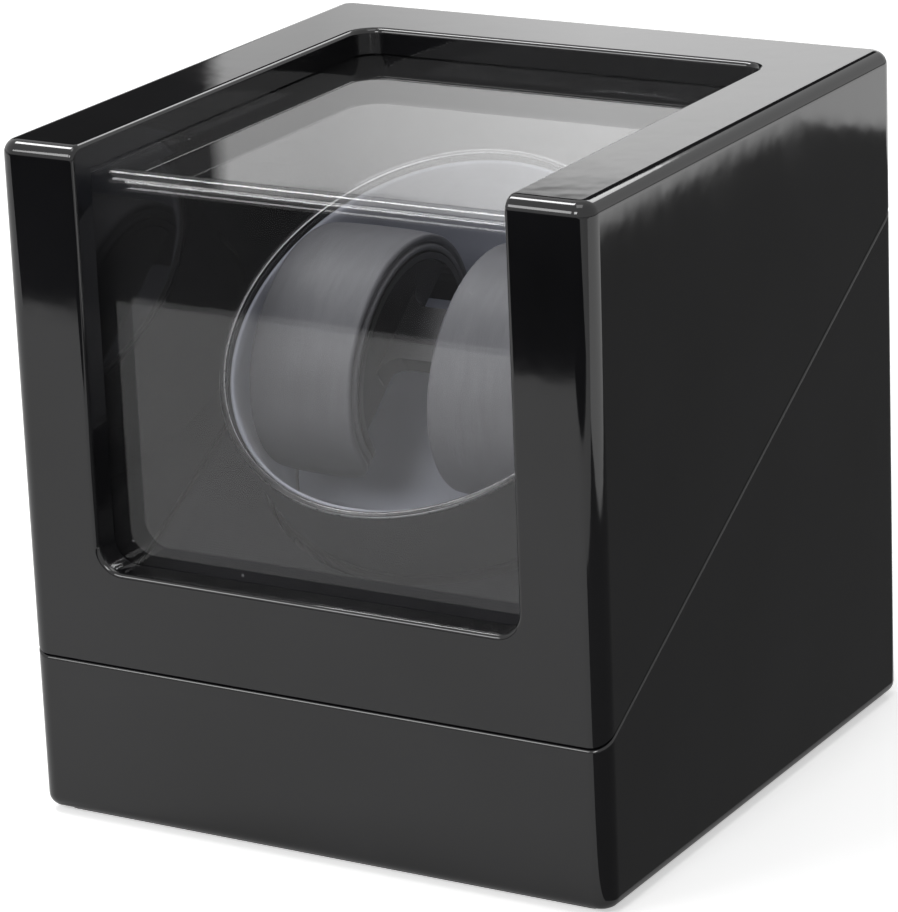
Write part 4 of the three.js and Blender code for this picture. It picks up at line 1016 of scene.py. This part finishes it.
class WINDER_OT_cuffs(bpy.types.Operator):
    """Bends the two leather cuffs round their oval"""

    bl_idname = "winder.cuffs"
    bl_label = "Cuffs"

    def execute(self, context):
        soft = context.scene.winder_soft
        for side in ("left", "right"):
            node = "watch_cuff_" + side
            low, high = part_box(node)
            self.cuff("cuff_leather_" + side, (low.x + high.x) / 2, (high.x - low.x) / 2, soft, node)
        return {"FINISHED"}

    def cuff(self, name, middle, half_width, soft, node):
        section = cuff_section(half_width, soft.crown, soft.piping)
        around = len(section)
        clear_selection()
        bpy.ops.mesh.primitive_circle_add(vertices=around, radius=MM, location=(0, 0, 0))
        obj = settle(name_new(name))
        edit(obj, "EDGE")
        bpy.ops.mesh.select_all(action="SELECT")
        for _ in range(CUFF_ROWS):
            bpy.ops.mesh.extrude_edges_move(TRANSFORM_OT_translate={"value": (0, 0, MM)})
        for end in (0, CUFF_ROWS):
            pick(obj, lambda e: all(near(v.co.z, end * MM) for v in e.verts))
            bpy.ops.mesh.edge_face_add()
        bpy.ops.object.mode_set(mode="OBJECT")
        for vertex in obj.data.vertices:
            turn = math.atan2(vertex.co.y, vertex.co.x) / (2 * math.pi) * around
            across, depth = section[round(turn) % around]
            share = vertex.co.z / MM / CUFF_ROWS
            vertex.co = self.on_oval(middle, across, depth, share, half_width)
        face_outwards(obj)
        place(obj, CUP_PLACE)
        finish_soft(obj)
        dress(obj, finishes()["leather"], "watch_holder", "cuff_leather", node)

    def on_oval(self, middle, across, depth, share, half_width):
        """A point of the cuff: share runs from one end of its strip to the other, closer near the ends."""
        reach = 2 * math.pi - CUFF_SLIT
        share -= 0.6 * math.sin(2 * math.pi * share) / (2 * math.pi)
        angle = -math.pi / 2 + CUFF_SLIT / 2 + reach * share
        length = reach * CUFF_MEAN
        from_back, from_front = share * length, (1 - share) * length
        half = CUFF_FOAM / 2
        to_end = min(from_back, from_front)
        if to_end < half:
            close = math.sqrt(max(0.0, 1 - (1 - to_end / half) ** 2))
            depth = half + (depth - half) * max(close, 0.12)
        pull = corner_pull(from_back, CUFF_BACK_CORNER)
        pull = max(pull, corner_pull(from_front, CUFF_CORNERS[1 if across > 0 else 0]))
        across *= 1 - pull / half_width
        outer = Vector((0, CUFF_WIDE * math.cos(angle), CUFF_CENTRE + CUFF_DEEP * math.sin(angle)))
        inward = -Vector((0, math.cos(angle) / CUFF_WIDE, math.sin(angle) / CUFF_DEEP)).normalized()
        crease = noise.noise(Vector((across * 0.6, outer.y, outer.z)) * 60) * 0.16 * MM if depth < MM else 0
        return outer + inward * (depth + crease) + Vector((middle + across, 0, 0))


# ---- Cloths ----------------------------------------------------------------------------------------------
class WINDER_OT_cloths(bpy.types.Operator):
    """Lays the cloth on the sloping deck and the felt under the base"""

    bl_idname = "winder.cloths"
    bl_label = "Cloths"

    def execute(self, context):
        self.deck()
        self.felt()
        return {"FINISHED"}

    def sheet_of(self, name, low, high, cuts):
        clear_selection()
        bpy.ops.mesh.primitive_grid_add(x_subdivisions=cuts[0], y_subdivisions=cuts[1], size=1)
        obj = name_new(name)
        obj.location = ((low[0] + high[0]) / 2, (low[1] + high[1]) / 2, high[2])
        obj.scale = (high[0] - low[0], high[1] - low[1], 1)
        settle(obj)
        thick = obj.modifiers.new("Thickness", "SOLIDIFY")
        thick.thickness = high[2] - low[2]
        thick.offset = -1
        apply_all(obj)
        return obj

    def deck(self):
        reach = (2 * INNER.y - 0.6 * MM) / SEAM_ALONG.y
        start = (BOARD + FIT) / SEAM_ALONG.y
        width = INNER.x - 0.4 * MM
        low = (-width, start, -CLOTH_DROP - CLOTH_THICK)
        cloth = self.sheet_of("deck_cloth_sheet", low, (width, start + reach, -CLOTH_DROP), (40, 46))
        for vertex in cloth.data.vertices:
            vertex.co.z += 0.12 * MM * noise.noise(Vector((vertex.co.x, vertex.co.y, 0)) * 55)
        place(cloth, SEAM_PLACE)
        ends = (CUP_PLACE @ Vector((0, 0, -0.09)), CUP_PLACE @ Vector((0, 0, 0.06)))
        cut_with(cloth, bar_along("hole", CUP_HOLE, *ends, 160))
        focus(cloth)
        bpy.ops.object.shade_smooth_by_angle(angle=math.radians(40))
        dress(cloth, finishes()["cloth"], "base", "deck_cloth", "deck_cloth")

    def felt(self):
        low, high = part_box("bottom_felt")
        felt = self.sheet_of("base_felt_sheet", low, high, (40, 40))
        edit(felt, "EDGE")
        round_edges(felt, lambda e: all(abs(v.co.x) > high.x - 0.01 * MM and abs(v.co.y) > high.y - 0.01 * MM
                                        for v in e.verts), FELT_CORNER, 5)
        bpy.ops.object.mode_set(mode="OBJECT")
        for vertex in felt.data.vertices:
            if vertex.co.z > high.z / 2:
                vertex.co.z -= 0.05 * MM
        focus(felt)
        bpy.ops.object.shade_smooth_by_angle(angle=math.radians(40))
        dress(felt, finishes()["felt"], "base", "felt", "bottom_felt")


# ---- Fittings --------------------------------------------------------------------------------------------
def eased_copy(node, name, radius, segments=2, angle=30):
    """A copy of a CAD node with its doubles merged, its flat faces joined and its sharp edges eased."""
    source = frame["nodes"][node]
    clear_selection()
    copy = source.copy()
    copy.data = source.data.copy()
    for key in list(copy.keys()):
        del copy[key]
    bpy.context.scene.collection.objects.link(copy)
    copy.parent = None
    copy.name = copy.data.name = name
    edit(copy, "VERT")
    bpy.ops.mesh.select_all(action="SELECT")
    bpy.ops.mesh.remove_doubles(threshold=2e-6)
    bpy.ops.mesh.customdata_custom_splitnormals_clear()
    bpy.ops.mesh.select_all(action="SELECT")
    bpy.ops.mesh.dissolve_limited(angle_limit=math.radians(1.0))
    bpy.ops.object.mode_set(mode="OBJECT")
    ease = copy.modifiers.new("Eased edges", "BEVEL")
    ease.width, ease.segments = radius, segments
    ease.limit_method = "ANGLE"
    ease.angle_limit = math.radians(angle)
    ease.use_clamp_overlap = True
    apply_all(copy)
    finish_hard(copy, 32)
    return copy


EASED = {
    "cuff_bridge": ("bridge_web", 1.0, "panel", "watch_holder", "black_plastic"),
    "control_plate": ("control_panel", 0.25, "black", "base", "black_plastic"),
    "mode_knob": ("mode_knob_turned", 0.22, "black", "mode_knob", "black_plastic"),
    "rocker": ("rocker_cap", 0.35, "gloss", "rocker", "gloss_plastic"),
    "rocker_housing": ("rocker_bezel", 0.25, "black", "base", "black_plastic"),
    "dc_jack": ("power_socket", 0.2, "gloss", "base", "gloss_plastic"),
    "hinge_upper_leaf": ("hinge_leaf_upper", 0.15, "brass", "lid", "brass"),
    "hinge_lower_leaf": ("hinge_leaf_lower", 0.15, "brass", "base", "brass"),
    "control_screw_left": ("panel_screw_left", 0.2, "steel", "base", "steel"),
    "control_screw_right": ("panel_screw_right", 0.2, "steel", "base", "steel"),
    "hinge_upper_screw_left": ("leaf_screw_upper_left", 0.15, "brass", "lid", "brass"),
    "hinge_upper_screw_right": ("leaf_screw_upper_right", 0.15, "brass", "lid", "brass"),
    "hinge_lower_screw_left": ("leaf_screw_lower_left", 0.15, "brass", "base", "brass"),
    "hinge_lower_screw_right": ("leaf_screw_lower_right", 0.15, "brass", "base", "brass"),
    "base_magnet": ("magnet_lower", 0.2, "steel", "base", "steel"),
    "lid_magnet": ("magnet_upper", 0.2, "steel", "lid", "steel"),
}

CARRIED = {
    "paint": ("deck_panel", "deck_cleats"),
    "black": ("rotor_chassis", "gearbox_rear_plate", "selector_body", "cuff_spring_left",
              "cuff_spring_right"),
    "steel": ("output_shaft", "cup_screw", "chassis_screw_left", "chassis_screw_right", "gearbox_screw_left",
              "gearbox_screw_right", "idler_axle", "motor_can", "motor_screw_left", "motor_screw_right",
              "shaft_clip", "hinge_pin"),
    "brass": ("output_bush", "motor_pinion"),
    "nylon": ("output_gear", "idler_gear", "motor_connector"),
    "board": ("circuit_board",),
    "lead": ("motor_lead",),
}


class WINDER_OT_fittings(bpy.types.Operator):
    """Eases the edges of the bridge, controls, hinge and magnets"""

    bl_idname = "winder.fittings"
    bl_label = "Fittings"

    def execute(self, context):
        table = finishes()
        for node, (name, radius, finish, body, slot) in EASED.items():
            dress(eased_copy(node, name, radius * MM), table[finish], body, slot, node)
        return {"FINISHED"}


class WINDER_OT_works(bpy.types.Operator):
    """Gives the deck, gearbox, motor and wiring their finishes"""

    bl_idname = "winder.works"
    bl_label = "Works"

    def execute(self, context):
        table = finishes()
        for finish, nodes in CARRIED.items():
            for node in nodes:
                data = frame["nodes"][node].data
                data.materials.clear()
                data.materials.append(table[finish])
        return {"FINISHED"}


# ---- Panel and registration ------------------------------------------------------------------------------
STEPS = (
    WINDER_OT_camera,
    WINDER_OT_stage,
    WINDER_OT_base,
    WINDER_OT_lid,
    WINDER_OT_window,
    WINDER_OT_cup,
    WINDER_OT_cuffs,
    WINDER_OT_cloths,
    WINDER_OT_fittings,
    WINDER_OT_works,
)


class WINDER_PT_panel(bpy.types.Panel):
    """Lists the winder's settings and its building steps"""

    bl_idname = "WINDER_PT_panel"
    bl_label = "Watch winder"
    bl_space_type = "VIEW_3D"
    bl_region_type = "UI"
    bl_category = "Winder"

    def draw(self, context):
        for group in ("winder_case", "winder_soft", "winder_finish", "winder_stage"):
            settings = getattr(context.scene, group)
            column = self.layout.column(align=True)
            for name in settings.bl_rna.properties.keys():
                if name not in ("rna_type", "name"):
                    column.prop(settings, name)
        for step in STEPS:
            self.layout.operator(step.bl_idname)


SETTINGS = {
    "winder_case": WinderCaseSettings,
    "winder_soft": WinderSoftSettings,
    "winder_finish": WinderFinishSettings,
    "winder_stage": WinderStageSettings,
}


def register():
    for name, group in SETTINGS.items():
        bpy.utils.register_class(group)
        setattr(bpy.types.Scene, name, PointerProperty(type=group))
    for step in (*STEPS, WINDER_PT_panel):
        bpy.utils.register_class(step)


def unregister():
    for step in reversed((*STEPS, WINDER_PT_panel)):
        bpy.utils.unregister_class(step)
    for name, group in SETTINGS.items():
        delattr(bpy.types.Scene, name)
        bpy.utils.unregister_class(group)


def main():
    register()
    for step in STEPS:
        group, name = step.bl_idname.split(".")
        getattr(getattr(bpy.ops, group), name)()


if __name__ == "__main__":
    main()
